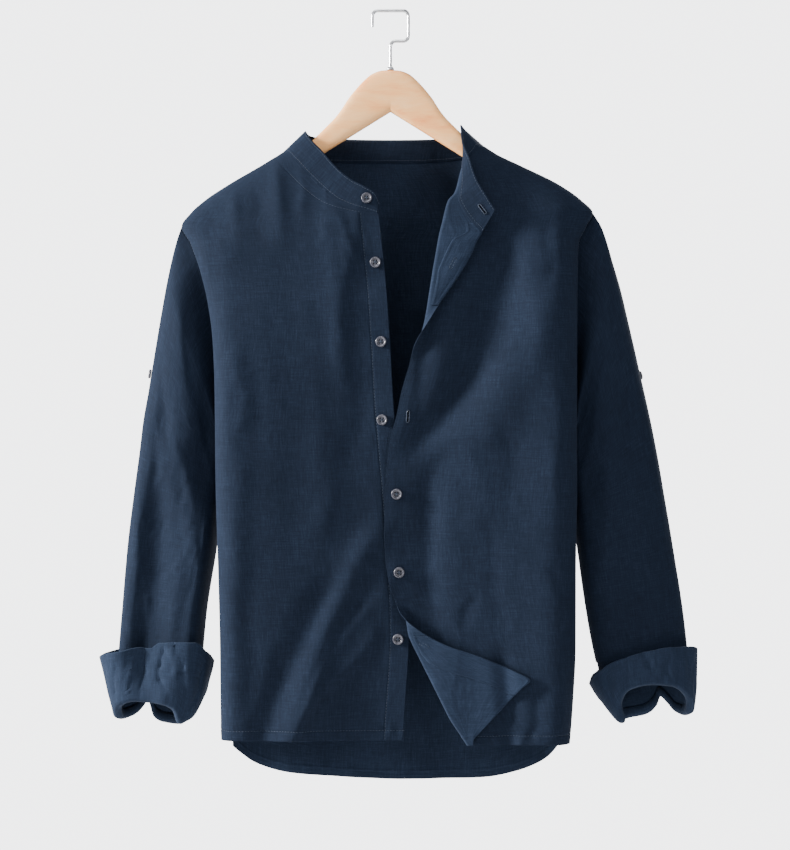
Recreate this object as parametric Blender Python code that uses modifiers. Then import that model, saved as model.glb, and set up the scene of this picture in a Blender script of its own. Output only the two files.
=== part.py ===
# A linen shirt with a band collar, hanging on a wooden hanger.
# Sizes are in millimetres until a mesh is made. X is to the right, -Y is the front, +Z is up,
# and the origin is where the hook rests on its rail. Left and right are as seen from the front.

import bpy
import numpy as np
from mathutils import Matrix

MM = 0.001

# Cloth
WALL = 1.4              # one layer of cloth with its turnings
BAND_WALL = 2.0         # collar and cuffs, two layers
STRIP_WALL = 1.0        # the buttonhole strip
SEAM = 0.3              # between pieces that are sewn together
FULLNESS = 2.6          # how square the body's section is: 2 is an ellipse
CHEST_FULLNESS = 4.6    # of the front, from the chest down
UNDERARM = -465
ROLL_RADIUS = 2.2       # of the fold of the lapel and of the cuffs
OVERLAP = 4.4           # how far the right front stands in front of the left one
RIM_STEP = 1.0          # a narrow first row of faces along a seam
ARC_COLUMNS = 3         # of faces over a turned edge
LIP_COLUMNS = 7         # of points beyond it
STRIP_GAP = 1.1         # between the strip and the cloth it lies on

# Buttons
BUTTON_RADIUS = 6.0
BUTTON_THICKNESS = 2.6
SLEEVE_BUTTON_RADIUS = 5.0

# Hanger
BOARD_THICKNESS = 12
BOARD_SLOPE = np.radians(31.8)
BOARD_TIP = 206
BOARD_WIDTH = 18
BOARD_APEX = -110.8     # of the lower edges, at the middle
BOARD_GAP = 0.15        # each side of the joint in the middle
WIRE = 3.6
HOOK_WIDTH = 40
HOOK_FOOT = -60.4
HOOK_SHOULDER = -32     # where the wire turns to the right
HOOK_END = -16
HOOK_CORNER = 6         # bend of the wire


def table(names, rows):
    """Rows of numbers under named columns."""
    return dict(zip(names.split(), np.array(rows, float).T))


# Outline of the body at each height: half widths to the left and right, depth of the front and
# back from the hanger's middle plane, and where the section is widest
BODY = table("z left right front back widest", [
    (-140, 94, 90, 15, 25, 0),
    (-150, 110.3, 106, 19, 28, 0),
    (-158, 123.5, 118.5, 21, 31, 0),
    (-170, 143, 143.7, 24, 33, 0),
    (-192, 180.6, 188.1, 28, 35, 0),
    (-209, 206, 212, 32, 37, 0),
    (-223, 221.4, 224.5, 35, 38, 0),
    (-238, 231.6, 217, 38, 40, 0),
    (-257, 221.4, 208.5, 42, 42, -3),
    (-298, 207.4, 206.5, 47, 44, -9),
    (-324, 201.4, 206, 50, 45, -12),
    (-362, 196.1, 205.6, 53, 46, -15),
    (-413, 193.6, 205.3, 55, 46, -18),
    (-519, 192.3, 205.3, 56, 45, -20),
    (-620, 189.4, 203.9, 54, 42, -20),
    (-700, 187.6, 203.9, 50, 38, -18),
    (-762, 187.2, 201.2, 47, 35, -15),
    (-860, 185, 193, 43, 31, -12),
])

# Armhole: how far round the section the front and back stop, from the shoulder's tip (0)
# to the underarm (1)
ARMHOLE = table("down front back", [
    (0.00, 90, 90),
    (0.05, 90, 97),
    (0.14, 90, 108),
    (0.27, 92, 117),
    (0.50, 97, 124),
    (0.72, 102, 125),
    (0.89, 107, 120),
    (1.00, 112, 112),
])
TIP_LEFT = -238
TIP_RIGHT = -223

# Left front: neckline (first rows) and free edge, by height
FRONT_LEFT = table("z edge", [
    (-156, -114.5), (-162, -108.5), (-169, -102), (-177, -95), (-186, -86), (-195, -77),
    (-203, -68), (-210, -59), (-215, -49), (-219, -37.5), (-222.5, -23), (-225, -13.2),
    (-236, -11.8), (-252, -10), (-271, -8), (-295, -5.5), (-320, -3.4), (-345, -1.8),
    (-372, 0), (-400, 1.4), (-430, 3.2), (-460, 5.6), (-492, 8.4), (-525, 11.3), (-560, 14),
    (-595, 16.5), (-630, 18.6), (-663, 20), (-692, 20.4), (-715, 19.5), (-738, 18),
    (-760, 16.4), (-783, 14.8), (-804, 13.7),
])

# Right front: where the cloth leaves the body, how much lies beyond that line, and how far it is
# turned over there (180 is folded back flat)
FRONT_RIGHT = table("z roll lip turn", [
    (-149, 98.0, 1.5, 0), (-156, 93.0, 2.0, 8), (-164, 84.5, 3.0, 45), (-173, 79.5, 3.0, 95),
    (-182, 77.5, 3.0, 130), (-192, 76.0, 3.0, 155), (-204, 72.5, 4.5, 172),
    (-212, 66.0, 10.0, 180), (-223, 62.5, 18.5, 180),
    (-237, 59.2, 32.0, 180), (-248, 56.4, 43.6, 180), (-256, 54.8, 40.5, 180),
    (-271, 52.2, 36.5, 180), (-286, 49.5, 31.0, 180), (-300, 47.2, 24.5, 180),
    (-315, 44.8, 16.5, 178), (-328, 42.6, 10.0, 168), (-340, 39.8, 6.5, 145),
    (-352, 36.2, 5.0, 108), (-364, 32.2, 4.5, 62), (-377, 28.2, 4.0, 20),
    (-392, 24.0, 3.5, 2), (-419, 15.6, 3.0, 0), (-448, 9.4, 3.0, 0), (-475, 2.6, 3.0, 0),
    (-511, -1.6, 3.0, 0), (-549, -3.7, 3.0, 0), (-594, -2.9, 3.0, 0), (-629, 0.8, 3.0, 0),
    (-648, 7.6, 3.0, 3), (-660, 12.6, 4.0, 30), (-670, 17.0, 5.0, 90), (-679, 20.2, 9.0, 150),
    (-688, 22.6, 19.0, 175), (-700, 28.0, 38.0, 180), (-710, 33.1, 63.3, 180),
    (-720, 38.0, 83.4, 180), (-728, 42.0, 97.8, 180), (-735, 45.5, 106.8, 180),
    (-744, 50.0, 94.2, 180), (-752, 54.0, 82.6, 180), (-765, 60.4, 64.0, 180),
    (-780, 68.2, 42.5, 180), (-794, 77.4, 20.0, 180), (-802, 82.5, 8.2, 180),
    (-808, 86.4, 4.0, 180),
])
# The buttonhole strip, where it shows on the turned lapel and corner: width from the free edge
STRIP_LAPEL = table("z width", [
    (-237, 9), (-248, 19), (-256, 28.0), (-271, 29.5), (-286, 27.5), (-300, 21.5),
    (-315, 14), (-328, 8),
])
STRIP_CORNER = table("z width", [
    (-688, 17), (-700, 36), (-710, 61), (-720, 75), (-728, 74), (-735, 62), (-744, 30),
    (-752, 6),
])

# Back: lower edge across, from the left side seam (0) to the right one (1)
TAIL = table("across z", [
    (0.00, -815), (0.06, -824), (0.14, -836), (0.27, -847), (0.42, -853), (0.55, -855),
    (0.68, -853), (0.80, -845), (0.90, -834), (0.95, -826), (1.00, -815),
])
BACK_TOP_LEFT = -156
BACK_TOP_RIGHT = -149
NECK_DIP = 7             # of the back's neckline in the middle

# Folds of the fronts and back: height and place of both ends, how far the middle bows sideways,
# how far the fold stands out (less than 0 is a valley) and its half width
FRONT_FOLDS = table("top_z low_z top_x low_x bow out half", [
    (-150, -262, -128, -120, 0, 3.5, 9),
    (-185, -262, -174, -167, 0, 3.0, 8),
    (-205, -425, -81, -55, -8, 4.5, 11),
    (-228, -300, -57, -37, 0, 2.5, 7),
    (-250, -620, -112, -98, -6, -3.0, 20),
    (-240, -820, -194, -182, 0, 7.0, 28),
    (-560, -830, -8, -112, -14, 5.0, 17),
    (-620, -840, -62, -150, -8, -4.0, 16),
    (-195, -500, 190, 84, 24, 4.0, 28),
    (-238, -492, 124, 28, 24, -8.0, 24),
    (-300, -830, 182, 180, 0, 6.0, 30),
    (-476, -700, 60, 52, -20, -4.5, 24),
    (-225, -870, -24, 0, 0, -2.5, 94),
    (-275, -870, -24, 0, 0, -3.0, 94),
    (-330, -870, -22, 0, 0, -3.5, 94),
    (-390, -870, -18, 0, 0, -3.0, 94),
    (-700, -840, 122, 134, 0, -4.0, 10),
])
BACK_FOLDS = table("top_z low_z top_x low_x bow out half", [
    (-165, -520, -78, -60, -8, 4.0, 14),
    (-165, -520, 74, 58, 8, 4.0, 14),
    (-230, -870, -128, -112, -8, -4.0, 20),
    (-230, -870, 136, 120, 8, -4.0, 20),
    (-330, -880, -48, -66, -6, 4.5, 20),
    (-330, -880, 40, 62, 6, 4.5, 20),
    (-420, -880, -4, 4, 5, -4.0, 18),
])

# Sleeves: the outer and inner line of each ring of cloth, the place and depth of the ring
SLEEVE_COLUMNS = "ring outer_x outer_z inner_x inner_z middle front back"
SLEEVE_LEFT = table(SLEEVE_COLUMNS, [
    (0, 231.6, -238, 182, -465, 4, 18, 18),
    (1, 237, -253, 183.5, -469, 6, 22, 26),
    (2, 243.5, -276, 184, -473, 8, 27, 32),
    (3, 249, -300, 184.5, -478, 10, 31, 36),
    (4, 254.5, -330, 185, -483, 11, 34, 38),
    (5, 260, -362, 185.5, -489, 12, 37, 40),
    (6, 265, -392, 186, -496, 13, 38, 40),
    (7, 270, -422, 186.5, -505, 14, 39, 40),
    (8, 275.5, -453, 187, -516, 14, 39, 40),
    (9, 279.5, -486, 188, -530, 14, 38, 39),
    (10, 284, -520, 189.5, -548, 13, 37, 38),
    (11, 288.5, -555, 191, -572, 12, 35, 36),
    (12, 292.5, -590, 194, -599, 10, 33, 34),
    (13, 295.5, -625, 199, -630, 8, 31, 32),
    (14, 298, -658, 203.5, -660, 6, 29, 30),
    (15, 300.5, -690, 206.5, -690, 4, 27, 28),
    (16, 302.5, -720, 209, -720, 2, 26, 27),
    (17, 303, -750, 213, -750, 2, 26, 27),
    (18, 298, -790, 226, -790, 2, 24, 25),
])
SLEEVE_RIGHT = table(SLEEVE_COLUMNS, [
    (0, 224.5, -223, 193, -465, 4, 18, 18),
    (1, 234, -238, 195, -469, 6, 22, 26),
    (2, 241, -256, 195.6, -473, 8, 27, 32),
    (3, 248, -279, 196.2, -478, 10, 31, 36),
    (4, 256, -306, 196.8, -483, 11, 34, 38),
    (5, 263.5, -337, 197.3, -489, 12, 37, 40),
    (6, 271, -369, 197.8, -496, 13, 38, 40),
    (7, 278.5, -402, 198.4, -505, 14, 39, 40),
    (8, 286, -435, 199.2, -516, 14, 39, 40),
    (9, 293, -468, 200.4, -530, 14, 38, 39),
    (10, 299.5, -503, 202.2, -549, 13, 37, 38),
    (11, 305.5, -539, 204.8, -573, 12, 35, 36),
    (12, 311.5, -575, 208.5, -600, 10, 33, 34),
    (13, 317, -610, 212.5, -631, 8, 31, 32),
    (14, 322.5, -645, 217, -662, 6, 29, 30),
    (15, 327, -680, 222, -692, 4, 27, 28),
    (16, 330, -714, 228, -721, 2, 26, 27),
    (17, 331, -750, 236, -750, 2, 26, 27),
    (18, 327, -790, 258, -790, 2, 24, 25),
])
# Valleys along the sleeves: place round the ring, first and last ring, depth and half width
SLEEVE_VALLEYS = table("angle first last depth half", [
    (118, 2, 12, 9, 20),
    (62, 5, 15, 5, 16),
    (238, 3, 14, 12, 20),
    (300, 6, 16, 6, 18),
])

# Turned-back cuffs, round the ring from the outer side over the front: height of the fold and of
# the upper edge, and how far that edge stands away
CUFF_LEFT = table("angle fold top away", [
    (0, -782, -715, 13), (30, -767, -708, 8), (60, -761, -703, 4), (90, -762, -703, 3),
    (115, -769, -705, 3), (138, -786, -707, 3), (158, -781, -711, 4), (180, -762, -719, 4),
    (207, -781, -712, 3), (235, -791, -706, 3), (262, -789, -704, 3), (272, -785, -704, 3),
    (284, -764.5, -704, 3), (297, -775, -705, 4), (313, -781.5, -707, 6), (338, -784, -711, 10),
    (360, -782, -715, 13),
])
CUFF_RIGHT = table("angle fold top away", [
    (0, -777, -707, 3), (30, -757, -702, 3), (60, -744, -702, 3), (85, -742, -706, 3),
    (110, -747, -713, 3), (135, -765, -722, 4), (155, -786, -732, 5), (180, -768, -744, 5),
    (205, -786, -736, 4), (235, -784, -724, 3), (264, -781, -712, 3), (280, -772, -708, 3),
    (289, -760.5, -707, 3), (301, -768, -706, 3), (315, -777, -705, 3), (335, -780, -706, 3),
    (360, -777, -707, 3),
])
CUFF_LEG = 10           # of the cuff inside the fold, up to the sleeve's end
RING_ANGLES = np.linspace(0, 360, 29)[:-1]

# Upper edge of the collar band, by its place: 0-1 along the left front, 1-2 round the back,
# 2-3 along the right front
COLLAR = table("place x y z", [
    (0.00, -11.8, -31, -214.5), (0.03, -16.5, -30.5, -203.5), (0.09, -28, -30, -195.8),
    (0.19, -41, -28, -189), (0.42, -58.5, -24, -175), (0.72, -76, -17.5, -154.8),
    (0.98, -92, -8, -136.5), (1.02, -94.5, -2, -131.5), (1.10, -90, 11, -135.5), (1.25, -68, 22, -138),
    (1.50, 0, 28, -138.5), (1.75, 62, 22, -138), (1.90, 79, 12, -133.5), (2.00, 78.5, 1, -124.5),
    (2.08, 79, -13, -137), (2.19, 81, -24, -149), (2.35, 87, -34, -165.5),
    (2.49, 92, -36, -182), (2.63, 97.5, -38, -194), (2.72, 103, -39, -203),
    (2.84, 109, -40, -213), (3.00, 115, -41, -222.5),
])
COLLAR_LEFT_END = -224.6
COLLAR_RIGHT_END = -248
BAND_COLUMNS = 16       # along the left front
NECK_COLUMNS = 18       # along the back
BAND_LIFT = 0.5         # of its lower edge above the necklines

# Buttons: across and height, and which front each lies on (1 is the right one)
BUTTONS = table("x z over", [
    (-26.3, -209.2, 0), (-16.4, -280, 0), (-10.3, -367, 0), (-9.2, -452.4, 0),
    (6.7, -533.3, 1), (9.3, -619, 1), (8.3, -692.4, 0),
])
BUTTON_NAMES = ["button_collar"] + ["button_%d" % number for number in range(1, 7)]

# Upper edge of each board, from the joint to the hidden part of the arm
BOARD_HEAD = table("x z", [
    (0.15, -64), (10, -64.8), (20, -68.3), (29, -75.5), (38, -85.2), (47, -96.5),
    (54, -107.5), (61, -116.8), (70, -126), (78, -134), (87, -142.5), (98, -151.5),
    (108, -158), (119, -164),
])

NAVY = (0.020, 0.034, 0.062, 1)
NAVY_INSIDE = (0.032, 0.052, 0.090, 1)
BUTTON_GREY = (0.045, 0.045, 0.062, 1)
MAPLE = (0.72, 0.48, 0.27, 1)
STEEL = (0.72, 0.73, 0.75, 1)


def smooth(rows, name, at, key="z"):
    """A column read by a smooth curve through its rows, which never swings past them."""
    x, y = rows[key], rows[name]
    if x[0] > x[-1]:
        x, y = x[::-1], y[::-1]
    step = np.diff(x)
    slope = np.diff(y) / step
    first = 2 * step[1:] + step[:-1]
    second = step[1:] + 2 * step[:-1]
    same_way = slope[:-1] * slope[1:] > 0
    before = np.where(same_way, slope[:-1], 1)
    after = np.where(same_way, slope[1:], 1)
    tangent = np.zeros_like(x)
    tangent[0] = slope[0]
    tangent[-1] = slope[-1]
    tangent[1:-1] = np.where(same_way, (first + second) / (first / before + second / after), 0)
    at = np.clip(at, x[0], x[-1])
    low = np.clip(np.searchsorted(x, at) - 1, 0, len(step) - 1)
    gap = step[low]
    t = (at - x[low]) / gap
    start = (1 + 2 * t) * (1 - t) ** 2 * y[low] + t * (1 - t) ** 2 * gap * tangent[low]
    stop = t * t * (3 - 2 * t) * y[low + 1] - t * t * (1 - t) * gap * tangent[low + 1]
    return start + stop


def ease(t):
    """0 to 1 with soft ends."""
    t = np.clip(t, 0, 1)
    return t * t * (3 - 2 * t)


def unit(vectors):
    return vectors / np.linalg.norm(vectors, axis=-1, keepdims=True)


# ---- the body's section ----

def half_width(x, z):
    return np.where(x < 0, smooth(BODY, "left", z), smooth(BODY, "right", z))


def relief(folds, x, z):
    """Sum of the folds at a place: out * exp(-(distance from the fold's line / half)^2)."""
    total = np.zeros(np.broadcast(x, z).shape)
    for top_z, low_z, top_x, low_x, bow, out, half in zip(*folds.values()):
        t = np.clip((top_z - z) / (top_z - low_z), 0, 1)
        line = top_x + (low_x - top_x) * t + bow * 4 * t * (1 - t)
        ends = ease((top_z - z) / 45 + 0.3) * ease((z - low_z) / 60 + 0.3)
        total = total + out * ends * np.exp(-((x - line) / half) ** 2)
    return total


def fullness(in_front, z):
    down = ease((-225 - z) / 60)
    return np.where(in_front, FULLNESS + (CHEST_FULLNESS - FULLNESS) * down, FULLNESS)


def body_point(z, angle):
    """Outside of the body. The angle is 0 at the middle of the front, positive to the right,
    and 180 at the middle of the back: x = edge |sin|^(2/n), y = widest + depth |cos|^(2/n)."""
    z, angle = np.broadcast_arrays(np.asarray(z, float), np.asarray(angle, float))
    turn = np.radians(angle)
    across = np.sin(turn)
    along = np.cos(turn)
    power = 2 / fullness(along > 0, z)
    x = np.sign(across) * half_width(across, z) * np.abs(across) ** power
    widest = smooth(BODY, "widest", z)
    front = -smooth(BODY, "front", z)
    back = smooth(BODY, "back", z)
    reach = np.abs(along) ** power
    y = widest + (np.where(along > 0, front, back) - widest) * reach
    flat = 1 - np.minimum(np.abs(x) / half_width(across, z), 1) ** 8
    folds = np.where(along > 0, -relief(FRONT_FOLDS, x, z), relief(BACK_FOLDS, x, z))
    return np.stack([x, y + folds * flat, z], -1)


def angle_at(x, z):
    """The angle at which the front of the body has this x."""
    share = np.clip(np.abs(x) / half_width(x, z), 0, 1)
    return np.sign(x) * np.degrees(np.arcsin(share ** (fullness(True, z) / 2)))


def body_side(y, z, side):
    """How far out the body reaches at this depth."""
    edge = smooth(BODY, "right" if side > 0 else "left", z)
    widest = smooth(BODY, "widest", z)
    middle = np.where(y < widest, -smooth(BODY, "front", z), smooth(BODY, "back", z))
    share = np.clip((y - widest) / (middle - widest), 0, 1)
    power = fullness(y < widest, z)
    return edge * (1 - share ** power) ** (1 / power)


def outer_angle(z, side, panel):
    """How far round the section a panel reaches: to the ridge, the armhole or the side seam."""
    tip = TIP_RIGHT if side > 0 else TIP_LEFT
    down = np.clip((tip - z) / (tip - UNDERARM), 0, 1)
    return smooth(ARMHOLE, panel, down, "down")


def spread(line, count, start=0.0, stop=0.0, rim_start=0.0, rim_stop=0.0):
    """Points at equal steps along a line, closer where it turns tightly, with a narrow step at
    an end that is sewn on."""
    length = np.append(0, np.cumsum(np.linalg.norm(np.diff(line, axis=0), axis=1)))
    heading = np.unwrap(np.arctan2(np.gradient(line[:, 1]), np.gradient(line[:, 0])))
    effort = length + 22 * np.append(0, np.cumsum(np.abs(np.diff(heading))))
    wanted = np.linspace(effort[0], effort[-1], count)
    places = np.interp(wanted, effort, length)
    places = start + (places / length[-1]) * (length[-1] - start - stop)
    if rim_start:
        places[1] = places[0] + min(rim_start, 0.4 * (places[2] - places[0]))
    if rim_stop:
        places[-2] = places[-1] - min(rim_stop, 0.4 * (places[-1] - places[-3]))
    return np.stack([np.interp(places, length, line[:, axis]) for axis in range(3)], -1)


# ---- the panels, each a grid of points on its outside ----

def left_edge(z):
    return body_point(z, angle_at(smooth(FRONT_LEFT, "edge", z), z))


def front_left_grid(columns=16):
    rows = []
    for z, edge in zip(FRONT_LEFT["z"], FRONT_LEFT["edge"]):
        outer = -outer_angle(z, -1, "front")
        line = body_point(z, np.linspace(outer, angle_at(edge, z), 400))
        rows.append(spread(line, columns, start=SEAM / 2, rim_start=RIM_STEP))
    return np.array(rows)


def front_lift(x, z):
    """How far the right front stands in front of the body's surface, over the left front."""
    return OVERLAP * ease((100 - x) / 50) * ease((-260 - z) / 110)


def right_y(x, z):
    return body_point(z, angle_at(x, z))[..., 1] - front_lift(x, z)


def right_row(z, dense=60):
    """The right front at one height: its run over the body, the turned arc and the lip beyond.
    Each arc has the same length L, so a turn a bends it to the radius L / a and it reaches
    L sin(a) / a along and L (1 - cos(a)) / a away."""
    roll = smooth(FRONT_RIGHT, "roll", z)
    lip = smooth(FRONT_RIGHT, "lip", z)
    turn = np.radians(smooth(FRONT_RIGHT, "turn", z))
    arc_length = np.pi * ROLL_RADIUS * (0.15 + 0.85 * ease((-150 - z) / 40))
    arc_reach = arc_length * np.sinc(turn / np.pi)
    outer = outer_angle(z, 1, "front")
    run = body_point(z, np.linspace(outer, angle_at(roll + arc_reach, z), 400))
    run[:, 1] -= front_lift(run[:, 0], z) * (run[:, 0] < 140)
    share = np.linspace(0, 1, dense)
    along = arc_length * share * np.sinc(turn * share / np.pi)
    away = arc_length * share * (turn * share / 2) * np.sinc(turn * share / 2 / np.pi) ** 2
    straight = lip * share
    along = np.append(along, along[-1] + straight * np.cos(turn))
    away = np.append(away, away[-1] + straight * np.sin(turn))
    x = roll + arc_reach - along
    beyond = np.stack([x, right_y(x, z) - away, np.full_like(x, z)], -1)
    return run, beyond[:dense], beyond[dense:]


def front_right_grid(columns=13):
    rows = []
    for z in FRONT_RIGHT["z"]:
        run, arc, lip = right_row(z)
        rows.append(np.vstack([spread(run, columns, start=SEAM / 2, rim_start=RIM_STEP),
                               spread(arc, ARC_COLUMNS + 1)[1:],
                               spread(lip, LIP_COLUMNS)[1:]]))
    return np.array(rows)


def grid_normals(grid):
    """The direction across a grid's faces at each point, as a mean over the faces around it."""
    along = grid[:-1, 1:] - grid[:-1, :-1]
    down = grid[1:, :-1] - grid[:-1, :-1]
    other = grid[1:, 1:] - grid[:-1, 1:]
    low = grid[1:, 1:] - grid[1:, :-1]
    face = unit(np.cross(along + low, down + other))
    total = np.zeros_like(grid)
    for row in (0, 1):
        for column in (0, 1):
            total[row:row + len(face), column:column + face.shape[1]] += face
    return unit(total)


def strip_grid(strip):
    """A part of the strip lies on the inside of the right front: the front's own points, moved
    out through its wall, as far from the free edge as the strip is wide."""
    grid = front_right_grid()
    lifted = (grid - grid_normals(grid) * (WALL + STRIP_GAP))[:, :-LIP_COLUMNS - 1:-1]
    rows = []
    for z, width in zip(strip["z"], strip["width"]):
        row = lifted[np.argmin(np.abs(FRONT_RIGHT["z"] - z))]
        length = np.append(0, np.cumsum(np.linalg.norm(np.diff(row, axis=0), axis=1)))
        places = np.minimum(length, width - 0.4 * np.arange(LIP_COLUMNS)[::-1])
        places[0] = 0.5
        rows.append(np.stack([np.interp(places, length, row[:, a]) for a in range(3)], -1))
    return np.array(rows)


def back_line(down, dense=600):
    """One line across the back, from the left side to the right one. down is 0 at the neck
    and 1 at the lower edge."""
    across = np.linspace(0, 1, dense)
    rise = (BACK_TOP_RIGHT - BACK_TOP_LEFT) * ease((across - 0.5) / 0.45)
    top = BACK_TOP_LEFT + rise - NECK_DIP * (1 - (2 * across - 1) ** 2)
    z = top + (smooth(TAIL, "z", across, "across") - top) * down
    start = -outer_angle(z[0], -1, "back")
    stop = -360 + outer_angle(z[-1], 1, "back")
    return body_point(z, start + (stop - start) * across)


def back_grid(rows=27, columns=29):
    down = np.linspace(0, 1, rows) ** 1.15
    return np.array([spread(back_line(share), columns, SEAM / 2, SEAM / 2, RIM_STEP, RIM_STEP)
                     for share in down])


# ---- sleeves and cuffs ----

def armhole_loop(side, angle):
    """The armhole's edge, from the shoulder's tip over the front to the underarm and up the
    back: 0, 180 and 360 degrees."""
    tip = TIP_RIGHT if side > 0 else TIP_LEFT
    down = (1 - np.cos(np.radians(angle))) / 2
    z = tip + (UNDERARM - tip) * down
    front = smooth(ARMHOLE, "front", down, "down")
    back = smooth(ARMHOLE, "back", down, "down")
    return body_point(z, side * np.where(angle <= 180, front, back))


def sleeve_point(side, ring, angle):
    """Outside of a sleeve. Each ring is an oval between its outer (0 degrees) and inner (180)
    line, and the first rings keep the armhole's own shape, which fades out."""
    rows = SLEEVE_RIGHT if side > 0 else SLEEVE_LEFT
    ring, angle = np.broadcast_arrays(np.asarray(ring, float), np.asarray(angle, float))
    names = ("outer_x", "outer_z", "inner_x", "inner_z", "middle", "front", "back")
    ox, oz, ix, iz, middle, front, back = [smooth(rows, n, ring, "ring") for n in names]
    turn = np.radians(angle)
    across = np.sign(np.cos(turn)) * np.abs(np.cos(turn)) ** 0.9
    deep = np.sign(np.sin(turn)) * np.abs(np.sin(turn)) ** 0.9
    valley = np.zeros(ring.shape)
    for place, first, last, depth, half in zip(*SLEEVE_VALLEYS.values()):
        ends = ease((ring - first) / 3) * ease((last - ring) / 3)
        valley = valley + depth * ends * np.exp(-((angle - place) / half) ** 2)
    y = middle - np.where(deep > 0, front, back) * deep
    y = y + np.sign(middle - y) * np.minimum(valley, 0.7 * np.abs(y - middle))
    # the armhole's own shape, in the frame of the first ring
    first = [smooth(rows, n, 0.0, "ring") for n in names[:4]]
    loop = armhole_loop(side, angle)
    axis0 = np.array([first[0] - first[2], first[1] - first[3]]) / 2
    mid0 = np.array([first[0] + first[2], first[1] + first[3]]) / 2
    place0 = np.stack([side * loop[..., 0], loop[..., 2]], -1) - mid0
    along0 = place0 @ axis0 / (axis0 @ axis0)
    off0 = place0 @ np.array([-axis0[1], axis0[0]]) / np.hypot(*axis0)
    grown = ease(ring / 3)
    along = grown * across + (1 - grown) * along0
    off = (1 - grown) * off0
    y = grown * y + (1 - grown) * loop[..., 1]
    axis = np.stack([ox - ix, oz - iz], -1) / 2
    normal = unit(np.stack([-axis[..., 1], axis[..., 0]], -1))
    x = (ox + ix) / 2 + along * axis[..., 0] + off * normal[..., 0]
    z = (oz + iz) / 2 + along * axis[..., 1] + off * normal[..., 1]
    x = x + (SEAM + 0.1) * (1 - grown)
    clear = SEAM + 1.5 * ease(ring / 2)
    x = np.maximum(x, body_side(y, z, side) + clear)
    return np.stack([side * x, y, z], -1)


def ring_at(side, z):
    rows = SLEEVE_RIGHT if side > 0 else SLEEVE_LEFT
    return np.interp(-z, -rows["outer_z"], rows["ring"])


def cuff_rows(side):
    return CUFF_RIGHT if side > 0 else CUFF_LEFT


def sleeve_grid(side):
    angle = RING_ANGLES
    rings = [0, 0.06] + list(range(1, 9)) + [10, 12, 14, 16]
    grid = [sleeve_point(side, ring, angle) for ring in rings]
    fold = smooth(cuff_rows(side), "fold", angle, "angle")
    for share in (0.55, 1.0):
        z = np.minimum(grid[-1][:, 2], -722)
        z = z + (fold + CUFF_LEG - z) * (0.5 if share < 1 else 1)
        place = sleeve_point(side, ring_at(side, z), angle)
        place[:, 2] = z
        grid.append(place)
    return np.array(grid)


def cuff_grid(side):
    """A cuff goes on down from the sleeve's end, turns over a small arc and comes up outside."""
    angle = RING_ANGLES
    rows = cuff_rows(side)
    fold, top, away = [smooth(rows, n, angle, "angle") for n in ("fold", "top", "away")]
    r = ROLL_RADIUS + BAND_WALL / 2
    turn = np.radians([0, 45, 90, 135, 180])
    ring = sleeve_point(side, 17, angle)
    run = np.linalg.norm(np.roll(ring, -1, 0) - np.roll(ring, 1, 0), axis=1)
    slope = (np.roll(fold, -1) - np.roll(fold, 1)) / run
    path = [(0, CUFF_LEG - (SEAM + 0.5) * np.sqrt(1 + slope ** 2), 0)]
    path += [(r - r * np.cos(t), r - r * np.sin(t), 0) for t in turn]
    path += [(2 * r, r, share) for share in (0.3, 0.65, 1.0)]
    grid = []
    for offset, height, share in path:
        z = fold + height + (top - fold - height) * share
        place = sleeve_point(side, ring_at(side, z), angle)
        ahead = sleeve_point(side, ring_at(side, z), angle + 2)
        behind = sleeve_point(side, ring_at(side, z), angle - 2)
        tangent = unit((ahead - behind)[:, :2])
        outward = side * np.stack([-tangent[:, 1], tangent[:, 0]], -1)
        from_middle = place[:, :2] - place[:, :2].mean(0)
        outward = outward * np.sign((outward * from_middle).sum(-1))[:, None]
        move = offset + away * share ** 1.5
        grid.append(np.column_stack([place[:, :2] + outward * move[:, None], z]))
    return np.array(grid)


# ---- collar ----

def right_neckline():
    """Free edge of the right front under the band: its rows, and a point between each two."""
    rows_z = FRONT_RIGHT["z"][FRONT_RIGHT["z"] >= COLLAR_RIGHT_END]
    edge = np.array([right_row(z)[2][-1] for z in rows_z])
    number = np.arange(0, len(rows_z) - 0.5, 0.5)
    return np.stack([np.interp(number, np.arange(len(rows_z)), edge[:, a]) for a in range(3)], -1)


def collar_grid():
    """The band stands on the necklines: its lower edge follows the three panels."""
    left = spread(left_edge(np.linspace(COLLAR_LEFT_END, FRONT_LEFT["z"][0], 200)), BAND_COLUMNS)
    neck = back_line(0.0)
    neck = neck[np.linspace(0, len(neck) - 1, NECK_COLUMNS).astype(int)]
    right = right_neckline()
    base = np.vstack([left, neck, right])
    rise = (left[:, 2] - left[0, 2]) / (left[-1, 2] - left[0, 2])
    fall = (right[:, 2] - right[0, 2]) / (right[-1, 2] - right[0, 2])
    place = np.concatenate([rise, np.linspace(1.02, 1.98, NECK_COLUMNS), 2 + fall])
    top = np.stack([smooth(COLLAR, n, place, "place") for n in "xyz"], -1)
    up = unit(top - base)
    return np.array([base + up * BAND_LIFT + (top - base - up * SEAM) * share
                     for share in (0, 0.35, 0.7, 1.0)])


# ---- Blender objects ----

def clear_scene():
    for thing in list(bpy.data.objects):
        bpy.data.objects.remove(thing, do_unlink=True)


def make_material(name, colour, roughness, metallic=0.0):
    material = bpy.data.materials.new(name)
    material.use_nodes = True
    shader = material.node_tree.nodes["Principled BSDF"]
    shader.inputs["Base Color"].default_value = colour
    shader.inputs["Roughness"].default_value = roughness
    shader.inputs["Metallic"].default_value = metallic
    return material


def add_object(name, data, material, collection):
    thing = bpy.data.objects.new(name, data)
    data.materials.append(material)
    collection.objects.link(thing)
    return thing


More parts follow.
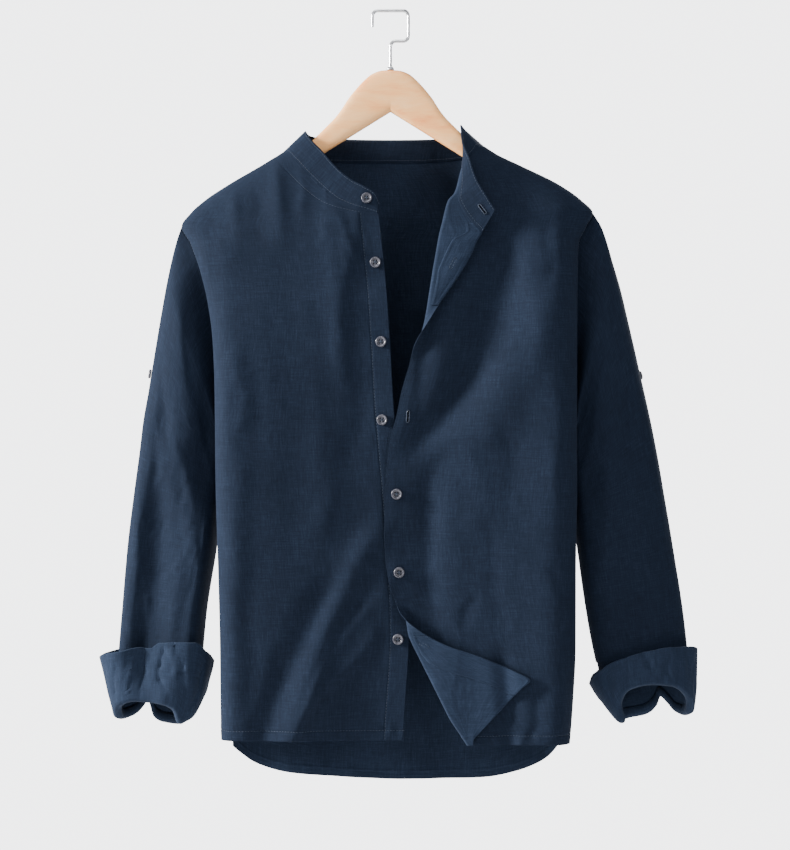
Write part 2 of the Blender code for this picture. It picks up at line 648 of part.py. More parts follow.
def add_cloth(name, grid, wall, material, collection, closed=False, flip=False):
    """A grid of points as one open sheet of faces, given its thickness towards the inside."""
    rows, columns = grid.shape[:2]
    number = np.arange(rows * columns).reshape(rows, columns)
    if closed:
        number = np.hstack([number, number[:, :1]])
    corners = [number[:-1, :-1], number[:-1, 1:], number[1:, 1:], number[1:, :-1]]
    if flip:
        corners = corners[::-1]
    faces = np.stack(corners, -1).reshape(-1, 4)
    mesh = bpy.data.meshes.new(name)
    mesh.from_pydata((grid.reshape(-1, 3) * MM).tolist(), [], faces.tolist())
    mesh.polygons.foreach_set("use_smooth", [True] * len(mesh.polygons))
    thing = add_object(name, mesh, material, collection)
    thickness = thing.modifiers.new("Wall", "SOLIDIFY")
    thickness.thickness = wall * MM
    thickness.offset = -1
    return thing


def add_button(name, centre, outward, radius, material, collection):
    """A turned button with a raised rim and a dished middle."""
    thick = BUTTON_THICKNESS
    profile = [(0, 0), (0.8, 0), (1, 0.6), (0.86, 1), (0.66, 0.72), (0, 0.66)]
    mesh = bpy.data.meshes.new(name)
    points = [(r * radius * MM, 0, h * thick * MM) for r, h in profile]
    mesh.from_pydata(points, [(i, i + 1) for i in range(len(points) - 1)], [])
    thing = add_object(name, mesh, material, collection)
    turned = thing.modifiers.new("Turned", "SCREW")
    turned.steps = 12
    turned.render_steps = 12
    turned.use_merge_vertices = True
    turned.merge_threshold = 0.00001
    turned.use_normal_calculate = True
    turned.use_smooth_shade = True
    side = unit(np.cross([0, 0, 1.0], outward))
    up = np.cross(outward, side)
    matrix = np.eye(4)
    matrix[:3, 0], matrix[:3, 1], matrix[:3, 2], matrix[:3, 3] = side, up, outward, centre * MM
    thing.matrix_world = Matrix(matrix.tolist())
    return thing


def surface_normal(point_at, u, v, step=1.5):
    along = point_at(u + step, v) - point_at(u - step, v)
    down = point_at(u, v + step) - point_at(u, v - step)
    normal = unit(np.cross(along, down))
    return normal if normal[1] < 0 else -normal


def add_front_buttons(material, collection):
    def on_front(x, z):
        return body_point(z, angle_at(x, z))

    def on_right(x, z):
        return np.array([x, right_y(x, z), z])

    band = collar_grid()
    for name, x, z, over in zip(BUTTON_NAMES, *BUTTONS.values()):
        point_at = on_right if over else on_front
        if name == "button_collar":
            middle = (band[1] + band[2]) / 2
            nearest = np.argmin(np.hypot(middle[:20, 0] - x, middle[:20, 2] - z))
            point = np.array([x, middle[nearest, 1], z])
            along = middle[nearest + 1] - middle[nearest - 1]
            outward = unit(np.cross(along, band[3][nearest] - band[0][nearest]))
            outward = outward if outward[1] < 0 else -outward
        else:
            point = point_at(x, z)
            outward = surface_normal(point_at, x, z)
        centre = point + outward * (SEAM + 0.15)
        add_button(name, centre, outward, BUTTON_RADIUS, material, collection)


def add_sleeve_buttons(material, collection):
    """The tab button of each sleeve, low on its outer line."""
    for name, side, ring, angle in (("button_sleeve_left", -1, 6.3, 8),
                                    ("button_sleeve_right", 1, 7.0, 350)):
        point = sleeve_point(side, ring, angle)
        along = sleeve_point(side, ring, angle + 2) - sleeve_point(side, ring, angle - 2)
        down = sleeve_point(side, ring + 0.2, angle) - sleeve_point(side, ring - 0.2, angle)
        outward = unit(np.cross(along, down))
        outward = outward if outward[0] * side > 0 else -outward
        centre = point + outward * (SEAM + 0.3)
        add_button(name, centre, outward, SLEEVE_BUTTON_RADIUS, material, collection)


def board_outline():
    """Half of the hanger: a round head, a hollow neck and a straight arm with a round tip."""
    head = list(zip(BOARD_HEAD["x"], BOARD_HEAD["z"]))
    rise = np.array([np.cos(BOARD_SLOPE), -np.sin(BOARD_SLOPE)])
    normal = np.array([np.sin(BOARD_SLOPE), np.cos(BOARD_SLOPE)])
    apex = np.array([BOARD_GAP, BOARD_APEX])
    low_tip = apex + rise * (BOARD_TIP - BOARD_GAP - BOARD_WIDTH / 2) / np.cos(BOARD_SLOPE)
    centre = low_tip + normal * BOARD_WIDTH / 2
    angles = np.linspace(np.pi / 2, -np.pi / 2, 9)
    tip = [centre + BOARD_WIDTH / 2 * (np.sin(a) * normal + 0.8 * np.cos(a) * rise)
           for a in angles]
    return np.array(head + [tuple(p) for p in tip] + [tuple(apex)])


def add_boards(material, collection):
    for name, side in (("hanger_arm_left", -1), ("hanger_arm_right", 1)):
        outline = board_outline()
        curve = bpy.data.curves.new(name, "CURVE")
        curve.dimensions = "2D"
        curve.fill_mode = "BOTH"
        curve.extrude = (BOARD_THICKNESS / 2 - 1) * MM
        curve.bevel_depth = 1 * MM
        curve.bevel_resolution = 0
        curve.offset = -1 * MM
        spline = curve.splines.new("POLY")
        spline.points.add(len(outline) - 1)
        for point, (x, z) in zip(spline.points, outline):
            point.co = (side * x * MM, z * MM, 0, 1)
        spline.use_cyclic_u = True
        board = add_object(name, curve, material, collection)
        board.rotation_euler = (np.pi / 2, 0, 0)


def add_hook(material, collection):
    """A square hook of bent wire: up from the head, over to the right, round and down."""
    radius = WIRE / 2
    half = HOOK_WIDTH / 2
    top = radius
    places = np.array([(0, HOOK_FOOT), (0, HOOK_SHOULDER), (half, HOOK_SHOULDER), (half, top),
                       (-half, top), (-half, HOOK_END)], float)
    line = [places[0]]
    for before, here, after in zip(places, places[1:], places[2:]):
        back = here + unit(before - here) * HOOK_CORNER
        ahead = here + unit(after - here) * HOOK_CORNER
        t = np.linspace(0, np.pi / 2, 5)
        centre = back + ahead - here
        line += [centre + (back - centre) * np.cos(a) + (ahead - centre) * np.sin(a) for a in t]
    line.append(places[-1])
    curve = bpy.data.curves.new("hanger_hook", "CURVE")
    curve.dimensions = "3D"
    curve.bevel_depth = radius * MM
    curve.bevel_resolution = 1
    curve.use_fill_caps = True
    spline = curve.splines.new("POLY")
    spline.points.add(len(line) - 1)
    for point, (x, z) in zip(spline.points, line):
        point.co = (x * MM, 0, z * MM, 1)
    add_object("hanger_hook", curve, material, collection)


def add_ferrule(material, collection):
    """The small foot of the hook, on top of the hanger's head."""
    low = -64 + SEAM
    high = HOOK_FOOT - SEAM
    profile = [(0, low), (4.2, low), (4.2, low + 1.6), (3.0, high), (0, high)]
    mesh = bpy.data.meshes.new("hanger_ferrule")
    mesh.from_pydata([(r * MM, 0, z * MM) for r, z in profile],
                     [(i, i + 1) for i in range(len(profile) - 1)], [])
    foot = add_object("hanger_ferrule", mesh, material, collection)
    turned = foot.modifiers.new("Turned", "SCREW")
    turned.steps = 20
    turned.render_steps = 20
    turned.use_merge_vertices = True
    turned.merge_threshold = 0.00001
    turned.use_normal_calculate = True


def main():
    clear_scene()
    collection = bpy.data.collections.new("linen_shirt_on_hanger")
    bpy.context.scene.collection.children.link(collection)
    navy = make_material("navy_linen", NAVY, 0.9)
    inside = make_material("navy_linen_inside", NAVY_INSIDE, 0.9)
    grey = make_material("button_plastic", BUTTON_GREY, 0.35)
    wood = make_material("maple", MAPLE, 0.5)
    steel = make_material("steel", STEEL, 0.3, 1.0)

    add_cloth("front_left", front_left_grid(), WALL, navy, collection, flip=True)
    add_cloth("front_right", front_right_grid(), WALL, navy, collection)
    for name, strip in (("placket_lapel", STRIP_LAPEL), ("placket_corner", STRIP_CORNER)):
        add_cloth(name, strip_grid(strip), STRIP_WALL, inside, collection, flip=True)
    add_cloth("back", back_grid(), WALL, navy, collection)
    for name, side in (("left", -1), ("right", 1)):
        add_cloth("sleeve_" + name, sleeve_grid(side), WALL, navy, collection,
                  closed=True, flip=side < 0)
        add_cloth("cuff_" + name, cuff_grid(side), BAND_WALL, inside, collection,
                  closed=True, flip=side < 0)
    add_cloth("collar_band", collar_grid(), BAND_WALL, navy, collection, flip=True)
    add_front_buttons(grey, collection)
    add_sleeve_buttons(grey, collection)
    add_boards(wood, collection)
    add_hook(steel, collection)
    add_ferrule(steel, collection)


main()
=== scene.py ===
import bpy
import numpy as np
from mathutils import Matrix


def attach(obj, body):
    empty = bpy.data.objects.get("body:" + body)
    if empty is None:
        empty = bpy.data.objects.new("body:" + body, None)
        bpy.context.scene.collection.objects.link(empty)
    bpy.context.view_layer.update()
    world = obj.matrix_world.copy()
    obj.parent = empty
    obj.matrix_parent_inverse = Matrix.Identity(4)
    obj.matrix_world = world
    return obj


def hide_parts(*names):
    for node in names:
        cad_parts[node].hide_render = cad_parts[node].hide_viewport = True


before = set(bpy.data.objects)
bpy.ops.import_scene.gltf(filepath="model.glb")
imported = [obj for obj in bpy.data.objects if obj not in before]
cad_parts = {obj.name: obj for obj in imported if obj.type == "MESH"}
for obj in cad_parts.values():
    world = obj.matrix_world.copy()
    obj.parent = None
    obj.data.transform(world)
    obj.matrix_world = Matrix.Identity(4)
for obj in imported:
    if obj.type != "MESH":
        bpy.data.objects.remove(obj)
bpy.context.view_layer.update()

# A linen shirt with a band collar, hanging on a wooden hanger. Sizes are in millimetres until a
# mesh is made. x runs to the right, -y is the front, z is up, and 0 is where the hook rests.

mm = 0.001

# distance, and the height that the frame takes in at the shirt, are in millimetres
view = {"place": (0.005, -2.8, -0.458), "distance": 2800, "imageHeight": 943.5, "sensor": 36.0}
cameraData = bpy.data.cameras.new("photoCamera")
cameraData.sensor_width = view["sensor"]
cameraData.lens = view["sensor"] * view["distance"] / view["imageHeight"]
camera = bpy.data.objects.new("photoCamera", cameraData)
camera.location = view["place"]
camera.rotation_euler = (np.pi / 2, 0, 0)
bpy.context.scene.collection.objects.link(camera)
bpy.context.scene.camera = camera

studio = {
    "worldColour": (0.95, 0.96, 0.98, 1), "seenStrength": 4.5, "worldStrength": 0.36,
    "floorHeight": -1.55, "floorSize": 2.2, "floorColour": (0.82, 0.82, 0.83, 1),
    # place, the point it looks at, width, height, power, colour
    "lamps": {
        "keyLamp": ((-3.7, -0.80, 0.75), (0, 0, -0.45), 0.8, 1.0, 620, (1.0, 0.98, 0.95)),
        "fillLamp": ((-1.3, -2.9, 0.7), (0, 0, -0.5), 2.0, 2.0, 17, (0.97, 0.98, 1.0)),
        "topLamp": ((-0.3, -0.7, 1.6), (0, 0, -0.2), 1.0, 1.0, 24, (1.0, 1.0, 1.0)),
        "rightLamp": ((1.25, -1.5, -0.1), (0.3, 0, -0.5), 0.5, 0.5, 11, (0.97, 0.98, 1.0)),
        "backLamp": ((1.3, 2.4, 0.6), (0, 0, -0.4), 1.4, 1.4, 80, (1.0, 1.0, 1.0)),
    },
}


# Puts a thing at a place with its -z axis towards a target
def pointAt(thing, place, target):
    forward = np.array(target, float) - np.array(place, float)
    forward = forward / np.linalg.norm(forward)
    side = np.cross(forward, [0, 0, 1.0])
    side = side / np.linalg.norm(side)
    turn = np.eye(4)
    turn[:3, 0], turn[:3, 1] = side, np.cross(side, forward)
    turn[:3, 2], turn[:3, 3] = -forward, place
    thing.matrix_world = Matrix(turn.tolist())


for lampName, (place, target, width, height, power, colour) in studio["lamps"].items():
    lampData = bpy.data.lights.new(lampName, "AREA")
    lampData.shape = "RECTANGLE"
    lampData.size = width
    lampData.size_y = height
    lampData.energy = power
    lampData.color = colour
    lamp = bpy.data.objects.new(lampName, lampData)
    bpy.context.scene.collection.objects.link(lamp)
    pointAt(lamp, place, target)

world = bpy.data.worlds.new("paleStudio")
world.use_nodes = True
worldTree = world.node_tree
softSky = worldTree.nodes["Background"]
softSky.inputs["Color"].default_value = studio["worldColour"]
softSky.inputs["Strength"].default_value = studio["worldStrength"]
seenSky = worldTree.nodes.new("ShaderNodeBackground")
seenSky.inputs["Color"].default_value = studio["worldColour"]
seenSky.inputs["Strength"].default_value = studio["seenStrength"]
skyMix = worldTree.nodes.new("ShaderNodeMixShader")
rayKind = worldTree.nodes.new("ShaderNodeLightPath")
worldTree.links.new(rayKind.outputs["Is Camera Ray"], skyMix.inputs[0])
worldTree.links.new(softSky.outputs[0], skyMix.inputs[1])
worldTree.links.new(seenSky.outputs[0], skyMix.inputs[2])
worldTree.links.new(skyMix.outputs[0], worldTree.nodes["World Output"].inputs["Surface"])
bpy.context.scene.world = world
print("stage: camera and light")


# Rows of numbers as named columns
def tableOf(names, rows):
    return dict(zip(names.split(), np.array(rows, float).T))


# A column read through its rows by cubic pieces whose slopes are the weighted harmonic mean of
# the neighbouring slopes, or 0 at a turn, so the curve never swings past its rows
def readCurve(rows, name, at, key="z"):
    x, y = rows[key], rows[name]
    if x[0] > x[-1]:
        x, y = x[::-1], y[::-1]
    step = np.diff(x)
    slope = np.diff(y) / step
    first = 2 * step[1:] + step[:-1]
    second = step[1:] + 2 * step[:-1]
    sameWay = slope[:-1] * slope[1:] > 0
    before = np.where(sameWay, slope[:-1], 1)
    after = np.where(sameWay, slope[1:], 1)
    tangent = np.zeros_like(x)
    tangent[0] = slope[0]
    tangent[-1] = slope[-1]
    tangent[1:-1] = np.where(sameWay, (first + second) / (first / before + second / after), 0)
    at = np.clip(at, x[0], x[-1])
    low = np.clip(np.searchsorted(x, at) - 1, 0, len(step) - 1)
    gap = step[low]
    t = (at - x[low]) / gap
    start = (1 + 2 * t) * (1 - t) ** 2 * y[low] + t * (1 - t) ** 2 * gap * tangent[low]
    stop = t * t * (3 - 2 * t) * y[low + 1] - t * t * (1 - t) * gap * tangent[low + 1]
    return start + stop


# 0 to 1 with soft ends: t * t * (3 - 2 t)
def softStep(t):
    t = np.clip(t, 0, 1)
    return t * t * (3 - 2 * t)


def unitOf(vectors):
    return vectors / np.maximum(np.linalg.norm(vectors, axis=-1, keepdims=True), 1e-9)


# Noise from -1 to 1: random values on a square lattice, blended between the four nearest by the
# soft step each way
def latticeNoise(u, v, size, seed):
    count = 128
    values = np.random.default_rng(seed).uniform(-1, 1, (count, count))
    a, b = u / size + 40, v / size + 40
    i, j = np.floor(a).astype(int), np.floor(b).astype(int)
    s, t = softStep(a - i), softStep(b - j)
    corner = [[values[(i + p) % count, (j + q) % count] for q in (0, 1)] for p in (0, 1)]
    low = corner[0][0] * (1 - s) + corner[1][0] * s
    high = corner[0][1] * (1 - s) + corner[1][1] * s
    return low * (1 - t) + high * t


# Crumples of washed linen: a broad noise, a finer one pushed about by it, and sharp little ridges
# where a third noise passes zero, (1 - 3 |noise|)^2. Longer down the cloth than across it
def crumple(u, v, seed):
    broad = latticeNoise(u, v * 0.4, 30, seed)
    fine = latticeNoise(u + 7 * broad, v * 0.5, 12, seed + 1)
    line = latticeNoise(u + 9 * broad, v * 0.55 + 5 * fine, 21, seed + 2)
    ridge = np.clip(1 - 3 * np.abs(line), 0, 1) ** 2
    where = softStep(0.5 + latticeNoise(u, v, 60, seed + 3))
    return 0.55 * broad + 0.3 * fine * where + 0.5 * ridge * where


# Creases: out * ends(t) * uneven(t) * exp(-(s / width)^2). t runs along the bowed line
# from (x0, z0) to (x1, z1), s is the distance from it, and lean makes one side steeper
creaseColumns = "x0 z0 x1 z1 bow out half lean"


def creaseField(rows, x, z):
    total = np.zeros(np.broadcast(x, z).shape)
    for number, (x0, z0, x1, z1, bow, out, half, lean) in enumerate(zip(*rows.values())):
        run, fall = x1 - x0, z1 - z0
        length = np.hypot(run, fall)
        t = ((x - x0) * run + (z - z0) * fall) / length ** 2
        inside = np.clip(t, 0, 1)
        s = ((x - x0) * fall - (z - z0) * run) / -length
        s = s - bow * 4 * inside * (1 - inside) - 0.3 * half * np.sin(9 * inside + number)
        width = half * (1 + lean * np.tanh(s / half))
        ends = softStep((t + 0.08) / 0.34) * softStep((1.08 - t) / 0.34)
        uneven = 0.82 + 0.18 * np.sin(11 * inside + 2.1 * number)
        total = total + out * ends * uneven * np.exp(-(s / width) ** 2)
    return total


# The body as sections from the shoulders down: how far it reaches left, right, front and back, and
# the depth at which it is widest
bodyForm = {
    "fullness": 2.6, "chestFullness": 4.6, "chest": -225, "chestFade": 60,
    "underarm": -465, "tipLeft": -238, "tipRight": -223,
    # folds end towards the sides by 1 - (x / half width)^n. n is the first of these, and in front
    # it grows by the others: how much, from which height and over what height
    "sidePower": 8, "sideRight": (32, -230, 70), "sideLeft": (12, -300, 90),
    "sections": tableOf("z left right front back widest", [
        (-140, 94, 90, 15, 25, 0), (-150, 110.3, 106, 19, 28, 0), (-158, 123.5, 118.5, 21, 31, 0),
        (-170, 143, 143.7, 24, 33, 0), (-192, 180.6, 188.1, 28, 35, 0),
        (-209, 206, 212, 32, 37, 0), (-223, 221.4, 224.5, 35, 38, 0),
        (-238, 231.6, 217, 38, 40, 0), (-257, 221.4, 208.5, 42, 42, -3),
        (-298, 207.4, 206.5, 47, 44, -9), (-324, 201.4, 206, 50, 45, -12),
        (-362, 196.1, 205.6, 53, 46, -15), (-413, 193.6, 205.3, 55, 46, -18),
        (-519, 192.3, 205.3, 56, 45, -20), (-620, 189.4, 203.9, 54, 42, -20),
        (-700, 187.6, 203.9, 50, 38, -18), (-762, 187.2, 201.2, 47, 35, -15),
        (-860, 185, 193, 43, 31, -12),
    ]),
    # how far round the front and back reach at the armhole, from the shoulder (0) to the underarm
    "armhole": tableOf("down front back", [
        (0.00, 90, 90), (0.05, 90, 97), (0.14, 90, 108), (0.27, 92, 117), (0.50, 97, 124),
        (0.72, 102, 125), (0.89, 107, 120), (1.00, 112, 112),
    ]),
    "frontFolds": tableOf("top_z low_z top_x low_x bow out half", [
        (-150, -262, -128, -120, 0, 2.0, 9), (-185, -262, -174, -167, 0, 1.5, 8),
        (-205, -425, -62, -48, -5, 2.0, 11), (-228, -300, -57, -37, 0, 1.0, 7),
        (-250, -620, -112, -98, -6, -1.2, 20), (-240, -820, -194, -182, 0, 7.0, 28),
        (-560, -830, -8, -112, -14, 5.0, 17), (-620, -840, -62, -150, -8, -4.0, 16),
        (-195, -500, 190, 84, 24, 4.0, 28), (-238, -492, 124, 28, 24, -8.0, 24),
        (-300, -830, 182, 180, 0, 6.0, 30), (-476, -700, 60, 52, -20, -4.5, 24),
        (-225, -870, -24, 0, 0, -2.5, 94), (-275, -870, -24, 0, 0, -3.0, 94),
        (-330, -870, -22, 0, 0, -3.5, 94), (-390, -870, -18, 0, 0, -3.0, 94),
        (-700, -840, 122, 134, 0, -4.0, 10),
    ]),
    "backFolds": tableOf("top_z low_z top_x low_x bow out half", [
        (-165, -520, -78, -60, -8, 4.0, 14), (-165, -520, 74, 58, 8, 4.0, 14),
        (-230, -870, -128, -112, -8, -4.0, 20), (-230, -870, 136, 120, 8, -4.0, 20),
        (-330, -880, -48, -66, -6, 4.5, 20), (-330, -880, 40, 62, 6, 4.5, 20),
        (-420, -880, -4, 4, 5, -4.0, 18),
    ]),
    # smaller creases, and the crumples between them
    "frontCreases": tableOf(creaseColumns, [
        (-62, -222, -33, -292, 3, 1.3, 4, 0.2), (-50, -242, -46, -300, -2, 1.2, 4, 0),
        (-71, -228, -74, -262, 0, 1.0, 5, 0.2), (-172, -370, -160, -478, 4, 1.8, 9, 0.2),
        (-96, -172, -92, -238, -3, 1.2, 6, 0.2), (-150, -190, -143, -262, 2, -1.3, 8, 0),
        (-4, -630, -106, -800, -9, 2.4, 6, 0.35), (-34, -640, -74, -742, -4, -1.5, 8, 0),
        (-150, -600, -158, -790, 0, -1.5, 12, 0), (-70, -450, -84, -600, 5, 1.5, 14, 0),
        (-30, -380, -44, -520, 3, -1.4, 12, 0), (-118, -690, -150, -815, 3, -1.6, 9, 0.2),
        (-164, -482, -170, -640, 0, 1.6, 10, 0.2),
        (122, -236, 30, -490, -32, -2.2, 8, 0.3), (171, -222, 174, -306, 2, -1.5, 8, 0),
        (148, -250, 158, -420, 4, 1.6, 12, 0), (27, -462, 25, -500, 0, -1.2, 3, 0),
        (42, -510, 50, -668, -4, -2.0, 10, 0.2), (170, -612, 197, -656, 2, -1.8, 6, 0.3),
        (92, -640, 74, -680, 2, -1.6, 7, 0.2), (168, -730, 152, -806, 2, -3.0, 9, 0.2),
        (134, -780, 142, -816, 0, 2.2, 7, 0), (120, -430, 132, -560, 5, -1.5, 12, 0),
        (84, -470, 98, -590, 4, 1.5, 12, 0), (186, -420, 182, -560, -2, 1.4, 9, 0),
        (104, -560, 118, -700, 4, -1.5, 10, 0),
    ]),
    "backCreases": tableOf(creaseColumns, [
        (-60, -190, -92, -300, -6, 1.6, 8, 0.2), (62, -190, 96, -310, 6, 1.6, 8, 0.2),
        (-20, -175, -26, -330, 3, -1.4, 10, 0), (24, -175, 20, -350, 3, 1.4, 12, 0),
        (-168, -300, -120, -420, 8, 2.0, 9, 0.3), (172, -300, 124, -430, -8, 2.0, 9, 0.3),
        (-150, -460, -130, -640, 5, 1.8, 12, 0), (150, -470, 134, -650, -5, 1.8, 12, 0),
        (-84, -480, -96, -700, 5, -1.8, 12, 0), (90, -500, 84, -720, 4, -1.8, 12, 0),
        (-30, -560, -24, -820, 4, 1.7, 12, 0), (34, -600, 38, -840, -4, -1.6, 11, 0),
        (-160, -700, -140, -830, 4, -1.8, 10, 0.2), (158, -690, 142, -830, -4, -1.8, 10, 0.2),
        (0, -300, 30, -470, 7, 1.4, 13, 0), (-110, -240, -70, -330, 6, -1.4, 8, 0.2),
    ]),
    "crumpleFront": 0.7, "crumpleBack": 0.75,
    # long bends of the front: its place at each height, how far it stands out (less than 0 is a
    # valley) and how far the cloth slopes away from it to the left and right
    "bends": {
        "leftSide": tableOf("z x out left right", [
            (-200, -204, 0, 16, 34), (-250, -194, -4.0, 18, 30), (-300, -194, -6.5, 18, 30),
            (-350, -194, -5.0, 18, 30), (-400, -193, -2.0, 16, 36), (-460, -191, 0.3, 16, 44),
            (-520, -190, 1, 16, 50), (-720, -186, 1, 16, 50), (-800, -186, 0.5, 16, 40)]),
        "shoulderLeft": tableOf("z x out left right", [
            (-158, -130, 0, 12, 9), (-200, -123, 1.6, 16, 10), (-245, -116, 0.5, 18, 12),
            (-300, -110, 0, 18, 14)]),
        "shoulderTip": tableOf("z x out left right", [
            (-188, -177, 0, 10, 8), (-215, -174, 1.6, 12, 9), (-250, -170, 0.6, 14, 9),
            (-290, -166, 0, 14, 10)]),
        "chestLeft": tableOf("z x out left right", [
            (-205, -36, 0, 12, 8), (-240, -38, 2.8, 14, 9), (-315, -52, 2.8, 15, 10),
            (-380, -54, 1.0, 18, 12), (-430, -50, 0, 20, 14)]),
        "lowDiagonal": tableOf("z x out left right", [
            (-600, 6, 0, 20, 8), (-638, -3, 1.8, 20, 8), (-697, -25, 4.0, 24, 9),
            (-756, -80, 4.4, 26, 10), (-785, -100, 3.6, 24, 10), (-811, -110, 2.8, 20, 10)]),
        "chestRight": tableOf("z x out left right", [
            (-190, 149, 0, 26, 24), (-244, 121, -3.0, 24, 40), (-315, 120, -4.5, 24, 56),
            (-355, 114, -5.0, 22, 60), (-387, 101, -5.0, 20, 62), (-450, 55, -4.0, 18, 66),
            (-485, 30, -2.0, 18, 50), (-520, 10, 0, 18, 30)]),
        "middleRight": tableOf("z x out left right", [
            (-470, 76, 0, 16, 30), (-500, 54, -2.4, 16, 44), (-544, 39, -3.2, 18, 60),
            (-600, 40, -3.0, 18, 60), (-658, 49, -1.6, 18, 46), (-710, 60, 0, 18, 40)]),
        "flankRight": tableOf("z x out left right", [
            (-205, 186, 0, 40, 20), (-270, 186, 4.0, 70, 18), (-330, 188, 6.0, 84, 16),
            (-450, 192, 7.0, 96, 12), (-640, 192, 7.0, 96, 12), (-760, 188, 5.0, 80, 12),
            (-812, 186, 4.0, 70, 12)]),
    },
}


# Long bends: out * exp(-(sqrt(s^2 + r^2) - r) / reach), where s is the distance across from the
# bend, r rounds its line off, and the reach differs on its two sides
def bendSum(bends, x, z, r=3.5):
    total = np.zeros(np.broadcast(x, z).shape)
    for rows in bends.values():
        s = x - readCurve(rows, "x", z)
        reach = np.where(s < 0, readCurve(rows, "left", z), readCurve(rows, "right", z))
        total = total + readCurve(rows, "out", z) * np.exp(-(np.sqrt(s * s + r * r) - r) / reach)
    return total


# Half of the body's width on the side of x
def halfWidth(x, z):
    rows = bodyForm["sections"]
    return np.where(x < 0, readCurve(rows, "left", z), readCurve(rows, "right", z))


# Sum of the main folds at a place: out * exp(-(distance from the fold's line / half)^2), fading
# out over some 45 mm at the top and 60 mm at the bottom
def foldSum(folds, x, z):
    total = np.zeros(np.broadcast(x, z).shape)
    for topZ, lowZ, topX, lowX, bow, out, half in zip(*folds.values()):
        t = np.clip((topZ - z) / (topZ - lowZ), 0, 1)
        line = topX + (lowX - topX) * t + bow * 4 * t * (1 - t)
        ends = softStep((topZ - z) / 45 + 0.3) * softStep((z - lowZ) / 60 + 0.3)
        total = total + out * ends * np.exp(-((x - line) / half) ** 2)
    return total


# How square the section is: 2 is an ellipse. The front is flatter from the chest down
def fullnessAt(inFront, z):
    more = bodyForm["chestFullness"] - bodyForm["fullness"]
    down = softStep((bodyForm["chest"] - z) / bodyForm["chestFade"])
    return np.where(inFront, bodyForm["fullness"] + more * down, bodyForm["fullness"])


# How much that power of a side grows down the front
def sideGrowth(side, z):
    more, start, over = bodyForm[side]
    return more * softStep((start - z) / over)


# Outside of the body at a height and an angle round from the middle of the front:
# x = half width * |sin|^(2/n), y = widest + depth * |cos|^(2/n), and the folds, creases and
# crumples added to y
def bodyPoint(z, angle):
    z, angle = np.broadcast_arrays(np.asarray(z, float), np.asarray(angle, float))
    rows = bodyForm["sections"]
    across, along = np.sin(np.radians(angle)), np.cos(np.radians(angle))
    power = 2 / fullnessAt(along > 0, z)
    x = np.sign(across) * halfWidth(across, z) * np.abs(across) ** power
    widest = readCurve(rows, "widest", z)
    front, back = -readCurve(rows, "front", z), readCurve(rows, "back", z)
    y = widest + (np.where(along > 0, front, back) - widest) * np.abs(along) ** power
    lower = np.where(across > 0, sideGrowth("sideRight", z), sideGrowth("sideLeft", z))
    ends = bodyForm["sidePower"] + np.where(along > 0, lower, 0)
    flat = 1 - np.minimum(np.abs(x) / halfWidth(across, z), 1) ** ends
    inFront = -(foldSum(bodyForm["frontFolds"], x, z)
                + bendSum(bodyForm["bends"], x, z)
                + creaseField(bodyForm["frontCreases"], x, z)
                + bodyForm["crumpleFront"] * crumple(x, z, 11))
    behind = (foldSum(bodyForm["backFolds"], x, z)
              + creaseField(bodyForm["backCreases"], x, z)
              + bodyForm["crumpleBack"] * crumple(x, z, 23))
    return np.stack([x, y + np.where(along > 0, inFront, behind) * flat, z], -1)


# The angle at which the front has this x
def angleAt(x, z):
    share = np.clip(np.abs(x) / halfWidth(x, z), 0, 1)
    return np.sign(x) * np.degrees(np.arcsin(share ** (fullnessAt(True, z) / 2)))


# How far out the body reaches at a depth
def bodySide(y, z, side):
    rows = bodyForm["sections"]
    edge = readCurve(rows, "right" if side > 0 else "left", z)
    widest = readCurve(rows, "widest", z)
    middle = np.where(y < widest, -readCurve(rows, "front", z), readCurve(rows, "back", z))
    share = np.clip((y - widest) / (middle - widest), 0, 1)
    power = fullnessAt(y < widest, z)
    return edge * (1 - share ** power) ** (1 / power)


# The angle of a panel's edge at the armhole
def outerAngle(z, side, panel):
    tip = bodyForm["tipRight"] if side > 0 else bodyForm["tipLeft"]
    down = np.clip((tip - z) / (tip - bodyForm["underarm"]), 0, 1)
    return readCurve(bodyForm["armhole"], panel, down, "down")


# Points at equal steps of length along each row of points
def evenSteps(lines, count, start=0.0, stop=0.0):
    length = np.cumsum(np.linalg.norm(np.diff(lines, axis=1), axis=2), axis=1)
    length = np.hstack([np.zeros((len(lines), 1)), length])
    share = np.linspace(0, 1, count)
    out = []
    for line, run in zip(lines, length):
        at = start + share * (run[-1] - start - stop)
        out.append(np.stack([np.interp(at, run, line[:, axis]) for axis in range(3)], -1))
    return np.array(out)


# The same with closer steps over the last part of each row, where a seam runs
def denseSteps(lines, count, closeCount, closeWidth, start=0.0):
    length = np.cumsum(np.linalg.norm(np.diff(lines, axis=1), axis=2), axis=1)
    length = np.hstack([np.zeros((len(lines), 1)), length])
    out = []
    for line, run in zip(lines, length):
        width = min(closeWidth, 0.4 * run[-1])
        at = np.concatenate([np.linspace(start, run[-1] - width, count - closeCount),
                             run[-1] - width * (1 - np.linspace(0, 1, closeCount + 1)[1:])])
        out.append(np.stack([np.interp(at, run, line[:, axis]) for axis in range(3)], -1))
    return np.array(out)


# How far each point of a grid lies from its last column, measured along its row
def fromLastColumn(grid):
    step = np.linalg.norm(np.diff(grid, axis=1), axis=2)
    run = np.hstack([np.zeros((len(grid), 1)), np.cumsum(step, axis=1)])
    return run[:, -1:] - run


# The same from its last row
def fromLastRow(grid):
    return fromLastColumn(grid.swapaxes(0, 1)).T


